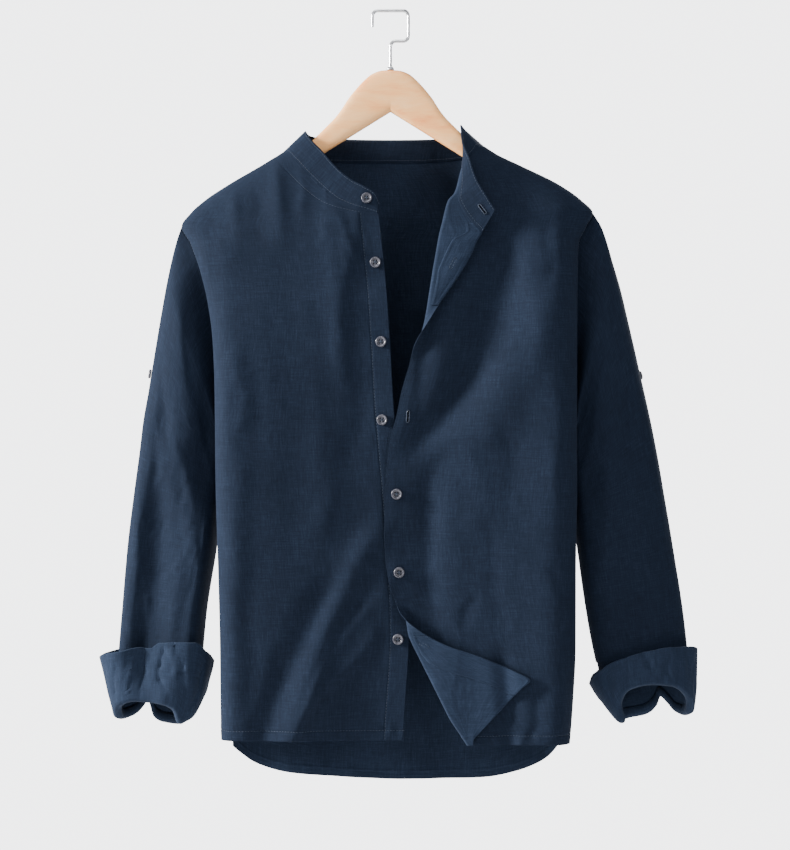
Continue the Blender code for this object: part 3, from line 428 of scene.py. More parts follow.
# A sewn line sinks into the cloth, depth * exp(-((away - inset) / 0.9)^2), and the cloth beside
# it is gathered by noise along the line
def sewnRelief(away, along, inset, depth, gather, pitch, seed):
    across = away - inset
    pucker = latticeNoise(along, along * 0 + 17.0 * seed, pitch, seed)
    return -depth * np.exp(-(across / 0.9) ** 2) + gather * pucker * np.exp(-(across / 5.5) ** 2)


# A line at one distance in from the last column of a grid, with the grid's directions there
def insetLine(grid, normals, inset):
    away = fromLastColumn(grid)
    line, up = [], []
    for row, direction, distance in zip(grid, normals, away):
        line.append([np.interp(-inset, -distance, row[:, axis]) for axis in range(3)])
        up.append([np.interp(-inset, -distance, direction[:, axis]) for axis in range(3)])
    return np.array(line), np.array(up)


# Direction across a grid of points: the cross product of its two gradients
def gridNormals(grid, closed=False):
    if closed:
        around = np.roll(grid, -1, 1) - np.roll(grid, 1, 1)
    else:
        around = np.gradient(grid, axis=1)
    down = np.gradient(grid, axis=0)
    return unitOf(np.cross(around, down))


# A piece that rides on the body, from points in millimetres and lists of faces
def newPiece(name, points, faces, materials, slots=None):
    mesh = bpy.data.meshes.new(name)
    mesh.from_pydata((points * mm).tolist(), [], faces)
    for material in materials:
        mesh.materials.append(material)
    if slots is not None:
        mesh.polygons.foreach_set("material_index", slots)
    mesh.polygons.foreach_set("use_smooth", np.full(len(mesh.polygons), True))
    mesh.update()
    piece = bpy.data.objects.new(name, mesh)
    bpy.context.scene.collection.objects.link(piece)
    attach(piece, "root")
    return piece


# A sheet of cloth as a thin closed shell: the outer grid, the inner grid a thickness below it
# along its normals, and a rim round the free edges. The UV map is in metres on the cloth
def clothShell(name, grid, thickness, materials, slotName, closed=False, flip=False):
    rows, columns = grid.shape[:2]
    normals = gridNormals(grid, closed) * (-1 if flip else 1)
    inner = grid - normals * thickness
    number = np.arange(rows * columns).reshape(rows, columns)
    wrapped = np.hstack([number, number[:, :1]]) if closed else number
    corners = [wrapped[:-1, :-1], wrapped[:-1, 1:], wrapped[1:, 1:], wrapped[1:, :-1]]
    if flip:
        corners = corners[::-1]
    front = np.stack(corners, -1).reshape(-1, 4)
    total = rows * columns
    back = front[:, ::-1] + total

    def rim(line):
        strip = np.stack([line[:-1], line[:-1] + total, line[1:] + total, line[1:]], -1)
        return strip[:, ::-1] if flip else strip

    rims = [rim(wrapped[0]), rim(wrapped[-1][::-1])]
    if not closed:
        rims += [rim(number[::-1, 0]), rim(number[:, -1])]
    rims = np.vstack(rims)
    faces = np.vstack([front, back, rims])
    points = np.vstack([grid.reshape(-1, 3), inner.reshape(-1, 3)])
    slots = np.concatenate([np.zeros(len(front), int), np.ones(len(back), int),
                            np.zeros(len(rims), int)]).astype(np.int32)
    if len(materials) == 1:
        slots[:] = 0
    piece = newPiece(name, points, faces.tolist(), materials, slots)
    steps = np.linalg.norm(np.diff(grid, axis=1), axis=2).mean(0)
    falls = np.linalg.norm(np.diff(grid, axis=0), axis=2).mean(1)
    u = np.append(0, np.cumsum(steps))
    v = np.append(0, np.cumsum(falls))
    u, v = np.broadcast_to(u, (rows, columns)), np.broadcast_to(v[:, None], (rows, columns))
    flat = np.stack([u, v], -1).reshape(-1, 2) * mm
    flat = np.vstack([flat, flat])
    loops = np.empty(len(piece.data.loops), np.int32)
    piece.data.loops.foreach_get("vertex_index", loops)
    piece.data.uv_layers.new(name="cloth")
    piece.data.uv_layers["cloth"].uv.foreach_set("vector", flat[loops].ravel())
    return piece


# A cloth piece in place of its solid. cut is the size of its flat cloth and area what is left of
# that once it is cut to shape, in metres. Neither is used here
def addCloth(name, node, grid, thickness, materials, slotName, cut, area=None, **how):
    piece = clothShell(name, grid, thickness, materials, slotName, **how)
    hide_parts(node)
    print("piece:", name, len(piece.data.polygons))


# Stitches along a line: each is a small spindle of five sides, half sunk in the cloth
def stitchPoints(line, normals, pitch, length, width):
    run = np.append(0, np.cumsum(np.linalg.norm(np.diff(line, axis=0), axis=1)))
    at = np.arange(pitch / 2, run[-1], pitch)
    place = np.stack([np.interp(at, run, line[:, axis]) for axis in range(3)], -1)
    up = unitOf(np.stack([np.interp(at, run, normals[:, axis]) for axis in range(3)], -1))
    ahead = np.stack([np.interp(at + 0.6, run, line[:, axis]) for axis in range(3)], -1)
    behind = np.stack([np.interp(at - 0.6, run, line[:, axis]) for axis in range(3)], -1)
    along = unitOf(ahead - behind)
    side = unitOf(np.cross(up, along))
    stations = np.array([-0.5, -0.3, 0.3, 0.5])
    reach = np.array([0.25, 1, 1, 0.25])
    turn = np.radians(np.arange(5) * 72)
    ringSide = reach[:, None] * np.cos(turn)[None] * width / 2
    ringUp = reach[:, None] * np.sin(turn)[None] * width / 2
    points = (place[:, None, None] + along[:, None, None] * (stations * length)[None, :, None, None]
              + side[:, None, None] * ringSide[None, :, :, None]
              + up[:, None, None] * ringUp[None, :, :, None])
    number = np.arange(20).reshape(4, 5)
    beside = np.roll(number, -1, 1)
    faces = np.stack([number[:-1], beside[:-1], beside[1:], number[1:]], -1).reshape(-1, 4)
    caps = [number[0][::-1], number[-1]]
    return points.reshape(-1, 3), faces, caps, len(at)


# All the stitches of some lines as one piece
def addStitches(name, runs, pitch, length, width):
    points, faces, base = [], [], 0
    for line, normals in runs:
        found, sides, caps, count = stitchPoints(line, normals, pitch, length, width)
        points.append(found)
        shift = base + 20 * np.arange(count)
        quads = (sides[None] + shift[:, None, None]).reshape(-1, 4)
        faces += quads.tolist()
        for cap in caps:
            faces += (cap[None] + shift[:, None]).tolist()
        base += 20 * count
    newPiece(name, np.vstack(points), faces, [threadMaterial])
    print("stitches:", name, base // 20)


# A material with its node tree and its shader node
def newMaterial(name, roughness, metallic=0.0, sheen=0.0, sheenTint=(1, 1, 1, 1), gloss=0.5):
    material = bpy.data.materials.new(name)
    material.use_nodes = True
    shader = material.node_tree.nodes["Principled BSDF"]
    shader.inputs["Roughness"].default_value = roughness
    shader.inputs["Metallic"].default_value = metallic
    shader.inputs["Specular IOR Level"].default_value = gloss
    shader.inputs["Sheen Weight"].default_value = sheen
    shader.inputs["Sheen Roughness"].default_value = 0.55
    shader.inputs["Sheen Tint"].default_value = sheenTint
    return material, material.node_tree, shader


# Noise read at stretched places, as a value from 0 to 1
def noiseNode(tree, source, scale, detail=3.0, roughness=0.55, distortion=0.0):
    stretch = tree.nodes.new("ShaderNodeMapping")
    stretch.inputs["Scale"].default_value = scale
    tree.links.new(source, stretch.inputs["Vector"])
    noise = tree.nodes.new("ShaderNodeTexNoise")
    noise.inputs["Scale"].default_value = 1.0
    noise.inputs["Detail"].default_value = detail
    noise.inputs["Roughness"].default_value = roughness
    noise.inputs["Distortion"].default_value = distortion
    tree.links.new(stretch.outputs["Vector"], noise.inputs["Vector"])
    return noise.outputs["Fac"]


# One sum of two values, each a number or another node's output
def mathNode(tree, operation, first, second):
    node = tree.nodes.new("ShaderNodeMath")
    node.operation = operation
    for socket, value in zip(node.inputs, (first, second)):
        if isinstance(value, (int, float)):
            socket.default_value = value
        else:
            tree.links.new(value, socket)
    return node.outputs[0]


# Colours blended between stops, each a place from 0 to 1 with its colour
def rampNode(tree, source, stops):
    ramp = tree.nodes.new("ShaderNodeValToRGB")
    elements = ramp.color_ramp.elements
    while len(elements) < len(stops):
        elements.new(0.5)
    for element, (place, colour) in zip(elements, stops):
        element.position = place
        element.color = colour
    tree.links.new(source, ramp.inputs["Fac"])
    return ramp.outputs["Color"]


# Linen: slubs along and across the threads, a fine speckle between them, and broad washed
# patches. Only the lines along and across and the speckle give the height of the weave
def linen(name, look):
    material, tree, shader = newMaterial(name, look["roughness"], sheen=look["sheen"],
                                         sheenTint=look["sheenTint"], gloss=look["gloss"])
    flat = tree.nodes.new("ShaderNodeUVMap")
    flat.uv_map = "cloth"
    where = tree.nodes.new("ShaderNodeTexCoord").outputs["Object"]
    along = noiseNode(tree, flat.outputs["UV"], (1100, 70, 1), 2)
    across = noiseNode(tree, flat.outputs["UV"], (60, 1000, 1), 2)
    speckle = noiseNode(tree, flat.outputs["UV"], (560, 560, 1), 4, 0.75)
    longSlub = noiseNode(tree, flat.outputs["UV"], (620, 26, 1), 2, 0.5, 0.6)
    crossSlub = noiseNode(tree, flat.outputs["UV"], (30, 560, 1), 2, 0.5, 0.6)
    patch = noiseNode(tree, where, (9, 9, 9), 3, 0.6)
    weave = mathNode(tree, "ADD", mathNode(tree, "MULTIPLY", along, 0.36),
                     mathNode(tree, "MULTIPLY", across, 0.32))
    weave = mathNode(tree, "ADD", weave, mathNode(tree, "MULTIPLY", speckle, 0.32))
    slub = mathNode(tree, "ADD", mathNode(tree, "MULTIPLY", longSlub, 0.14),
                    mathNode(tree, "MULTIPLY", crossSlub, 0.10))
    tone = mathNode(tree, "ADD", mathNode(tree, "MULTIPLY", weave, 0.64),
                    mathNode(tree, "MULTIPLY", patch, 0.12))
    tone = mathNode(tree, "ADD", tone, slub)
    colour = rampNode(tree, tone, [(0.34, look["dark"]), (0.5, look["middle"]),
                                   (0.70, look["light"])])
    tree.links.new(colour, shader.inputs["Base Color"])
    bump = tree.nodes.new("ShaderNodeBump")
    bump.inputs["Strength"].default_value = look["weaveStrength"]
    bump.inputs["Distance"].default_value = look["weaveHeight"]
    tree.links.new(weave, bump.inputs["Height"])
    tree.links.new(bump.outputs["Normal"], shader.inputs["Normal"])
    return material


linenLook = {
    "roughness": 0.86, "sheen": 0.03, "sheenTint": (0.45, 0.62, 1.0, 1), "gloss": 0.10,
    "dark": (0.0030, 0.0056, 0.0122, 1), "middle": (0.0062, 0.0112, 0.0238, 1),
    "light": (0.0160, 0.0262, 0.0500, 1), "weaveStrength": 0.7, "weaveHeight": 0.0007,
}
insideLook = {
    "roughness": 0.88, "sheen": 0.04, "sheenTint": (0.50, 0.66, 1.0, 1), "gloss": 0.12,
    "dark": (0.0054, 0.0098, 0.0205, 1), "middle": (0.0108, 0.0188, 0.0380, 1),
    "light": (0.0250, 0.0400, 0.0740, 1), "weaveStrength": 0.7, "weaveHeight": 0.0007,
}
outsideLinen = linen("navyLinen", linenLook)
insideLinen = linen("navyLinenInside", insideLook)

threadLook = {"roughness": 0.6, "dark": (0.010, 0.017, 0.033, 1),
              "light": (0.026, 0.041, 0.072, 1)}
threadMaterial, threadTree, threadShader = newMaterial("navyThread", threadLook["roughness"],
                                                       sheen=0.1, gloss=0.25)
threadTone = noiseNode(threadTree, threadTree.nodes.new("ShaderNodeTexCoord").outputs["Object"],
                       (2600, 2600, 2600), 2)
threadTree.links.new(rampNode(threadTree, threadTone, [(0.35, threadLook["dark"]),
                                                       (0.65, threadLook["light"])]),
                     threadShader.inputs["Base Color"])

# Painted shade: a near-black sheet stands in for the shade seen in a buttonhole's slot
shadowLook = {"roughness": 0.9, "dark": (0.0012, 0.0020, 0.0040, 1),
              "light": (0.0030, 0.0050, 0.0095, 1)}
shadowMaterial, shadowTree, shadowShader = newMaterial("buttonholeSlot", shadowLook["roughness"],
                                                       gloss=0.05)
shadowTone = noiseNode(shadowTree, shadowTree.nodes.new("ShaderNodeTexCoord").outputs["Object"],
                       (1800, 1800, 1800), 2)
shadowTree.links.new(rampNode(shadowTree, shadowTone, [(0.3, shadowLook["dark"]),
                                                       (0.7, shadowLook["light"])]),
                     shadowShader.inputs["Base Color"])

buttonLook = {"roughness": 0.34, "dark": (0.020, 0.021, 0.032, 1),
              "light": (0.085, 0.086, 0.110, 1)}
buttonMaterial, buttonTree, buttonShader = newMaterial("buttonPlastic", buttonLook["roughness"])
buttonCloud = noiseNode(buttonTree, buttonTree.nodes.new("ShaderNodeTexCoord").outputs["Object"],
                        (210, 210, 210), 3, 0.6, 1.2)
buttonTree.links.new(rampNode(buttonTree, buttonCloud, [(0.3, buttonLook["dark"]),
                                                        (0.72, buttonLook["light"])]),
                     buttonShader.inputs["Base Color"])
buttonShader.inputs["Coat Weight"].default_value = 0.25

woodLook = {"roughness": 0.42, "pale": (1.0, 0.58, 0.26, 1), "middle": (1.0, 0.49, 0.18, 1),
            "line": (0.92, 0.33, 0.10, 1)}
woodMaterial, woodTree, woodShader = newMaterial("mapleWood", woodLook["roughness"])
woodPlace = woodTree.nodes.new("ShaderNodeTexCoord").outputs["Object"]
woodBands = noiseNode(woodTree, woodPlace, (14, 150, 60), 4, 0.6, 0.5)
woodPores = noiseNode(woodTree, woodPlace, (90, 900, 900), 3, 0.7)
woodTone = mathNode(woodTree, "ADD", mathNode(woodTree, "MULTIPLY", woodBands, 0.72),
                    mathNode(woodTree, "MULTIPLY", woodPores, 0.28))
woodTree.links.new(rampNode(woodTree, woodTone, [(0.34, woodLook["line"]),
                                                 (0.5, woodLook["middle"]),
                                                 (0.66, woodLook["pale"])]),
                   woodShader.inputs["Base Color"])
woodBump = woodTree.nodes.new("ShaderNodeBump")
woodBump.inputs["Strength"].default_value = 0.25
woodBump.inputs["Distance"].default_value = 0.0004
woodTree.links.new(woodPores, woodBump.inputs["Height"])
woodTree.links.new(woodBump.outputs["Normal"], woodShader.inputs["Normal"])
woodShader.inputs["Coat Weight"].default_value = 0.2
woodShader.inputs["Coat Roughness"].default_value = 0.3

steelLook = {"roughness": 0.24, "dark": (0.60, 0.61, 0.64, 1), "light": (0.80, 0.81, 0.83, 1)}
steelMaterial, steelTree, steelShader = newMaterial("hookSteel", steelLook["roughness"], 1.0)
steelTone = noiseNode(steelTree, steelTree.nodes.new("ShaderNodeTexCoord").outputs["Object"],
                      (300, 300, 60), 2)
steelTree.links.new(rampNode(steelTree, steelTone, [(0.3, steelLook["dark"]),
                                                    (0.7, steelLook["light"])]),
                    steelShader.inputs["Base Color"])
print("stage: materials")


# The fronts: x of the left one's free edge at each height, and for the right one x of its roll, the
# length of the lip beyond it and how far the lip is turned over, in degrees
frontForm = {
    "thickness": 0.8, "rollRadius": 2.2, "overlap": 4.4, "columns": 92,
    "liftEnd": 100, "liftFade": 50, "liftTop": -260, "liftRise": 110, "liftLimit": 140,
    "left": tableOf("z edge", [
        (-156, -114.5), (-162, -108.5), (-169, -102), (-177, -95), (-186, -86), (-195, -77),
        (-203, -68), (-210, -59), (-215, -49), (-219, -37.5), (-222.5, -23), (-225, -13.2),
        (-236, -11.8), (-252, -10), (-271, -8), (-295, -5.5), (-320, -3.4), (-345, -1.8),
        (-372, 0), (-400, 1.4), (-430, 3.2), (-460, 5.6), (-492, 8.4), (-525, 11.3), (-560, 14),
        (-595, 16.5), (-630, 18.6), (-663, 20), (-692, 20.4), (-715, 19.5), (-738, 18),
        (-760, 16.4), (-783, 14.8), (-804, 13.7),
    ]),
    "right": tableOf("z roll lip turn", [
        (-149, 98.0, 1.5, 0), (-156, 93.0, 2.0, 8), (-164, 84.5, 3.0, 45), (-173, 79.5, 3.0, 95),
        (-182, 77.5, 3.0, 130), (-192, 76.0, 3.0, 155), (-204, 72.5, 4.5, 172),
        (-212, 66.0, 10.0, 180), (-223, 62.5, 18.5, 180), (-237, 59.2, 32.0, 180),
        (-248, 56.4, 43.6, 180), (-256, 54.8, 40.5, 180), (-271, 52.2, 36.5, 180),
        (-286, 49.5, 31.0, 180), (-300, 47.2, 24.5, 180), (-315, 44.8, 16.5, 178),
        (-328, 42.6, 10.0, 168), (-340, 39.8, 6.5, 145), (-352, 36.2, 5.0, 108),
        (-364, 32.2, 4.5, 62), (-377, 28.2, 4.0, 20), (-392, 24.0, 3.5, 2), (-419, 15.6, 3.0, 0),
        (-448, 9.4, 3.0, 0), (-475, 2.6, 3.0, 0), (-511, -1.6, 3.0, 0), (-549, -3.7, 3.0, 0),
        (-594, -2.9, 3.0, 0), (-629, 0.8, 3.0, 0), (-648, 7.6, 3.0, 3), (-660, 12.6, 4.0, 30),
        (-670, 17.0, 5.0, 90), (-679, 20.2, 9.0, 150), (-688, 22.6, 19.0, 175),
        (-700, 28.0, 38.0, 180), (-710, 33.1, 63.3, 180), (-720, 38.0, 83.4, 180),
        (-728, 42.0, 97.8, 180), (-735, 45.5, 106.8, 180), (-744, 50.0, 94.2, 180),
        (-752, 54.0, 82.6, 180), (-765, 60.4, 64.0, 180), (-780, 68.2, 42.5, 180),
        (-794, 77.4, 20.0, 180), (-802, 82.5, 8.2, 180), (-808, 86.4, 4.0, 180),
    ]),
}


# The left front's free edge
def leftEdge(z):
    return bodyPoint(z, angleAt(readCurve(frontForm["left"], "edge", z), z))


# Distance of the sewn lines from the edge beside them
seams = {"placket": 20.5, "hem": 11.0, "armhole": 5.0, "strip": 2.2, "band": 2.0, "cuff": 3.0}

# Heights of the rows: an even step, closer where the neckline runs nearly level
leftZ = np.concatenate([np.linspace(-156, -212, 40)[:-1], np.linspace(-212, -226, 22)[:-1],
                        np.linspace(-226, -786, 226)[:-1], np.linspace(-786, -804, 20)])
leftOuter = -outerAngle(leftZ, -1, "front")
leftInner = angleAt(readCurve(frontForm["left"], "edge", leftZ), leftZ)
leftAngles = leftOuter[:, None] + (leftInner - leftOuter)[:, None] * np.linspace(0, 1, 360)
leftGrid = denseSteps(bodyPoint(leftZ[:, None], leftAngles), frontForm["columns"], 32, 26, 0.15)
leftNormals = -gridNormals(leftGrid)
leftRelief = sewnRelief(fromLastColumn(leftGrid), leftGrid[..., 2], seams["placket"], 0.45, 0.35,
                        13, 61)
leftRelief = leftRelief + sewnRelief(fromLastRow(leftGrid), leftGrid[..., 0], seams["hem"], 0.5,
                                     0.8, 7, 62)
leftGrid = leftGrid + leftNormals * leftRelief[..., None]
addCloth("frontLeft", "front_left", leftGrid, frontForm["thickness"],
         [outsideLinen, insideLinen], "navy_linen", (0.27, 0.70), 0.155, flip=True)


# How far the right front stands out over the left one
def frontLift(x, z):
    across = softStep((frontForm["liftEnd"] - x) / frontForm["liftFade"])
    down = softStep((frontForm["liftTop"] - z) / frontForm["liftRise"])
    return frontForm["overlap"] * across * down


# The right front at each height: its run over the body, an arc of one length bent through the
# turn a to the radius length / a, and the lip straight on from it
def rightRows(z, runCount, arcCount, lipCount):
    z = np.atleast_1d(np.asarray(z, float))[:, None]
    rows = frontForm["right"]
    roll, lip = readCurve(rows, "roll", z), readCurve(rows, "lip", z)
    turn = np.radians(readCurve(rows, "turn", z))
    arcLength = np.pi * frontForm["rollRadius"] * (0.15 + 0.85 * softStep((-150 - z) / 40))
    reach = arcLength * np.sinc(turn / np.pi)
    outer = outerAngle(z, 1, "front")
    angles = outer + (angleAt(roll + reach, z) - outer) * np.linspace(0, 1, 360)
    run = bodyPoint(z, angles)
    run[..., 1] -= frontLift(run[..., 0], z) * (run[..., 0] < frontForm["liftLimit"])
    share = np.linspace(0, 1, arcCount)
    along = arcLength * share * np.sinc(turn * share / np.pi)
    away = arcLength * share * (turn * share / 2) * np.sinc(turn * share / 2 / np.pi) ** 2
    straight = lip * np.linspace(0, 1, lipCount + 1)[1:]
    along = np.hstack([along, along[:, -1:] + straight * np.cos(turn)])
    away = np.hstack([away, away[:, -1:] + straight * np.sin(turn)])
    x = roll + reach - along
    y = bodyPoint(z, angleAt(x, z))[..., 1] - frontLift(x, z) - away
    beyond = np.stack([x, y, np.broadcast_to(z, x.shape)], -1)
    return np.concatenate([evenSteps(run, runCount, 0.15), beyond[:, 1:]], 1)


rightColumns = {"run": 84, "arc": 8, "lip": 34}
rightZ = np.concatenate([np.linspace(-149, -205, 34)[:-1], np.linspace(-205, -265, 36)[:-1],
                         np.linspace(-265, -660, 158)[:-1], np.linspace(-660, -790, 72)[:-1],
                         np.linspace(-790, -808, 20)])
rightGrid = rightRows(rightZ, rightColumns["run"], rightColumns["arc"], rightColumns["lip"])
rightNormals = gridNormals(rightGrid)
rightRelief = sewnRelief(fromLastRow(rightGrid), rightGrid[..., 0], seams["hem"], 0.5, 0.8, 7, 64)
rightGrid = rightGrid + rightNormals * rightRelief[..., None]
addCloth("frontRight", "front_right", rightGrid, frontForm["thickness"],
         [outsideLinen, insideLinen], "navy_linen", (0.29, 0.70), 0.16)

# The buttonhole strip, where it shows on the turned lapel and corner: width from the free edge
stripForm = {
    "thickness": 0.7, "gap": 0.25,
    "lapel": tableOf("z width", [
        (-237, 9), (-248, 19), (-256, 28), (-271, 29.5), (-286, 27.5), (-300, 21.5),
        (-315, 14), (-328, 8)]),
    "corner": tableOf("z width", [
        (-688, 17), (-700, 36), (-710, 61), (-720, 75), (-728, 74), (-735, 62), (-744, 30),
        (-752, 6)]),
}


# A strip of the lip's own points, moved out through the cloth and cut at its width
def stripGrid(strip, columns=26):
    z = np.linspace(strip["z"][0], strip["z"][-1], 60)
    grid = rightRows(z, rightColumns["run"], rightColumns["arc"], rightColumns["lip"])
    normals = gridNormals(grid)
    lifted = grid - normals * (frontForm["thickness"] + stripForm["gap"])
    lip = lifted[:, :-rightColumns["lip"] - 1:-1]
    width = readCurve(strip, "width", z)
    out = []
    for row, wide in zip(lip, width):
        run = np.append(0, np.cumsum(np.linalg.norm(np.diff(row, axis=0), axis=1)))
        at = 0.4 + (wide - 0.4) * np.linspace(0, 1, columns)
        out.append(np.stack([np.interp(at, run, row[:, axis]) for axis in range(3)], -1))
    return np.array(out)


# The strips are gathered a little by their two sewn edges
def puckered(grid, seed):
    normals = -gridNormals(grid)
    far = fromLastColumn(grid)
    near = far[:, :1] - far
    relief = sewnRelief(far, grid[..., 2], seams["strip"], 0.25, 0.45, 8, seed)
    relief = relief + sewnRelief(near, grid[..., 2], seams["strip"], 0.25, 0.35, 9, seed + 1)
    fade = softStep((far[:, :1] - 4) / 6)
    return grid + normals * (relief * fade + 0.2 * fade)[..., None]


lapelGrid = puckered(stripGrid(stripForm["lapel"]), 71)
cornerGrid = puckered(stripGrid(stripForm["corner"]), 75)
addCloth("placketLapel", "placket_lapel", lapelGrid, stripForm["thickness"],
         [insideLinen], "navy_linen_inside", (0.03, 0.095), 0.0022, flip=True)
addCloth("placketCorner", "placket_corner", cornerGrid, stripForm["thickness"],
         [insideLinen], "navy_linen_inside", (0.075, 0.075), 0.0035, flip=True)
print("stage: fronts")


# The back: its neckline, and the height of the tail's edge across it
backForm = {
    "thickness": 0.8, "topLeft": -156, "topRight": -149, "neckDip": 7, "rows": 236, "columns": 168,
    "tail": tableOf("across z", [
        (0.00, -815), (0.06, -824), (0.14, -836), (0.27, -847), (0.42, -853), (0.55, -855),
        (0.68, -853), (0.80, -845), (0.90, -834), (0.95, -826), (1.00, -815)]),
}


# One line across the back for each share of the way down from the neck to the tail
def backLines(down, count=500):
    across = np.linspace(0, 1, count)
    down = np.atleast_1d(np.asarray(down, float))[:, None]
    rise = (backForm["topRight"] - backForm["topLeft"]) * softStep((across - 0.5) / 0.45)
    top = backForm["topLeft"] + rise - backForm["neckDip"] * (1 - (2 * across - 1) ** 2)
    z = top + (readCurve(backForm["tail"], "z", across, "across") - top) * down
    start = -outerAngle(z[:, :1], -1, "back")
    stop = -360 + outerAngle(z[:, -1:], 1, "back")
    return bodyPoint(z, start + (stop - start) * across)


backDown = np.concatenate([np.linspace(0, 0.974, backForm["rows"] - 18)[:-1],
                           np.linspace(0.974, 1, 19)])
backGrid = evenSteps(backLines(backDown), backForm["columns"], 0.15, 0.15)
backRelief = sewnRelief(fromLastRow(backGrid), backGrid[..., 0], seams["hem"] - 2, 0.5, 0.8, 8, 66)
backGrid = backGrid + gridNormals(backGrid) * backRelief[..., None]
addCloth("backPanel", "back", backGrid, backForm["thickness"],
         [outsideLinen, insideLinen], "navy_linen", (0.45, 0.71), 0.285)
print("stage: back")


# The sleeves as rings from the armhole (0) to the wrist (18)
sleeveColumns = "ring outerX outerZ innerX innerZ middle front back"
sleeveForm = {
    "thickness": 0.8, "seam": 0.3, "around": 132, "down": 232, "oval": 0.9,
    # crumples, and finer ones from a ring down, weaker on the right sleeve
    "crumple": 1.1, "fine": 1.3, "fineRight": 0.6, "fineFrom": 4,
    # behind the shoulder's tip the first ring lies in and down under the back, about an angle
    "underPlace": -24, "underHalf": 14, "underIn": 2.4, "underDown": 1.3,
    "left": tableOf(sleeveColumns, [
        (0, 231.6, -238, 182, -465, 4, 18, 18), (1, 237, -253, 183.5, -469, 6, 22, 26),
        (2, 243.5, -276, 184, -473, 8, 27, 32), (3, 249, -300, 184.5, -478, 10, 31, 36),
        (4, 254.5, -330, 185, -483, 11, 34, 38), (5, 260, -362, 185.5, -489, 12, 37, 40),
        (6, 265, -392, 186, -496, 13, 38, 40), (7, 270, -422, 186.5, -505, 14, 39, 40),
        (8, 275.5, -453, 187, -516, 14, 39, 40), (9, 279.5, -486, 188, -530, 14, 38, 39),
        (10, 284, -520, 189.5, -548, 13, 37, 38), (11, 288.5, -555, 191, -572, 12, 35, 36),
        (12, 292.5, -590, 194, -599, 10, 33, 34), (13, 295.5, -625, 199, -630, 8, 31, 32),
        (14, 298, -658, 203.5, -660, 6, 29, 30), (15, 300.5, -690, 206.5, -690, 4, 27, 28),
        (16, 302.5, -720, 209, -720, 2, 26, 27), (17, 303, -750, 213, -750, 2, 26, 27),
        (18, 298, -790, 226, -790, 2, 24, 25),
    ]),
    "right": tableOf(sleeveColumns, [
        (0, 224.5, -223, 193, -465, 4, 18, 18), (1, 234, -238, 195, -469, 6, 22, 26),
        (2, 241, -256, 195.6, -473, 8, 27, 32), (3, 248, -279, 196.2, -478, 10, 31, 36),
        (4, 256, -306, 196.8, -483, 11, 34, 38), (5, 263.5, -337, 197.3, -489, 12, 37, 40),
        (6, 271, -369, 197.8, -496, 13, 38, 40), (7, 278.5, -402, 198.4, -505, 14, 39, 40),
        (8, 286, -435, 199.2, -516, 14, 39, 40), (9, 293, -468, 200.4, -530, 14, 38, 39),
        (10, 299.5, -503, 202.2, -549, 13, 37, 38), (11, 305.5, -539, 204.8, -573, 12, 35, 36),
        (12, 311.5, -575, 208.5, -600, 10, 33, 34), (13, 317, -610, 212.5, -631, 8, 31, 32),
        (14, 322.5, -645, 217, -662, 6, 29, 30), (15, 327, -680, 222, -692, 4, 27, 28),
        (16, 330, -714, 228, -721, 2, 26, 27), (17, 331, -750, 236, -750, 2, 26, 27),
        (18, 327, -790, 258, -790, 2, 24, 25),
    ]),
    # side: -1 and 1 are the left and right sleeve alone, 0 is both
    "valleys": tableOf("angle first last depth half side", [
        (118, 2, 10.5, 8, 20, -1), (118, 2, 12, 7, 20, 1), (62, 5, 12, 5, 16, 0),
        (74, 8.5, 18.5, 15, 23, -1), (136, 9, 18, -6, 18, -1), (96, 11, 17, 4, 14, 1),
        (238, 3, 14, 12, 20, 0), (300, 6, 16, 6, 18, 0)]),
    # creases on the unrolled sleeve: x0 and x1 are degrees round it, z0 and z1 rings times 30
    "creases": tableOf(creaseColumns, [
        (60, 60, 150, 260, 10, 2.2, 13, 0.3), (40, 150, 120, 330, 8, -1.8, 10, 0.2),
        (100, 250, 140, 400, 6, 1.8, 9, 0.2), (20, 200, 60, 420, 6, 1.6, 10, 0.2),
        (70, 330, 80, 480, 5, 1.6, 9, 0.2), (130, 380, 110, 480, 4, -1.4, 8, 0),
        (30, 420, 50, 500, 3, -1.4, 8, 0), (150, 300, 160, 450, 4, 1.4, 9, 0),
        (200, 90, 260, 280, -8, 2.2, 13, 0.3), (300, 120, 250, 300, 8, -1.8, 11, 0.2),
        (320, 220, 290, 430, 6, 1.6, 10, 0.2), (230, 330, 250, 470, 5, 1.6, 10, 0),
        (280, 400, 300, 500, 4, -1.4, 8, 0), (345, 260, 338, 420, 4, 1.3, 9, 0),
    ]),
}


def sleeveRows(side):
    return sleeveForm["right" if side > 0 else "left"]


# The armhole's edge: 0 degrees at the shoulder's tip, over the front to the underarm, up the back
def armholeLoop(side, angle):
    tip = bodyForm["tipRight"] if side > 0 else bodyForm["tipLeft"]
    down = (1 - np.cos(np.radians(angle))) / 2
    z = tip + (bodyForm["underarm"] - tip) * down
    front = readCurve(bodyForm["armhole"], "front", down, "down")
    back = readCurve(bodyForm["armhole"], "back", down, "down")
    return bodyPoint(z, side * np.where(angle <= 180, front, back))


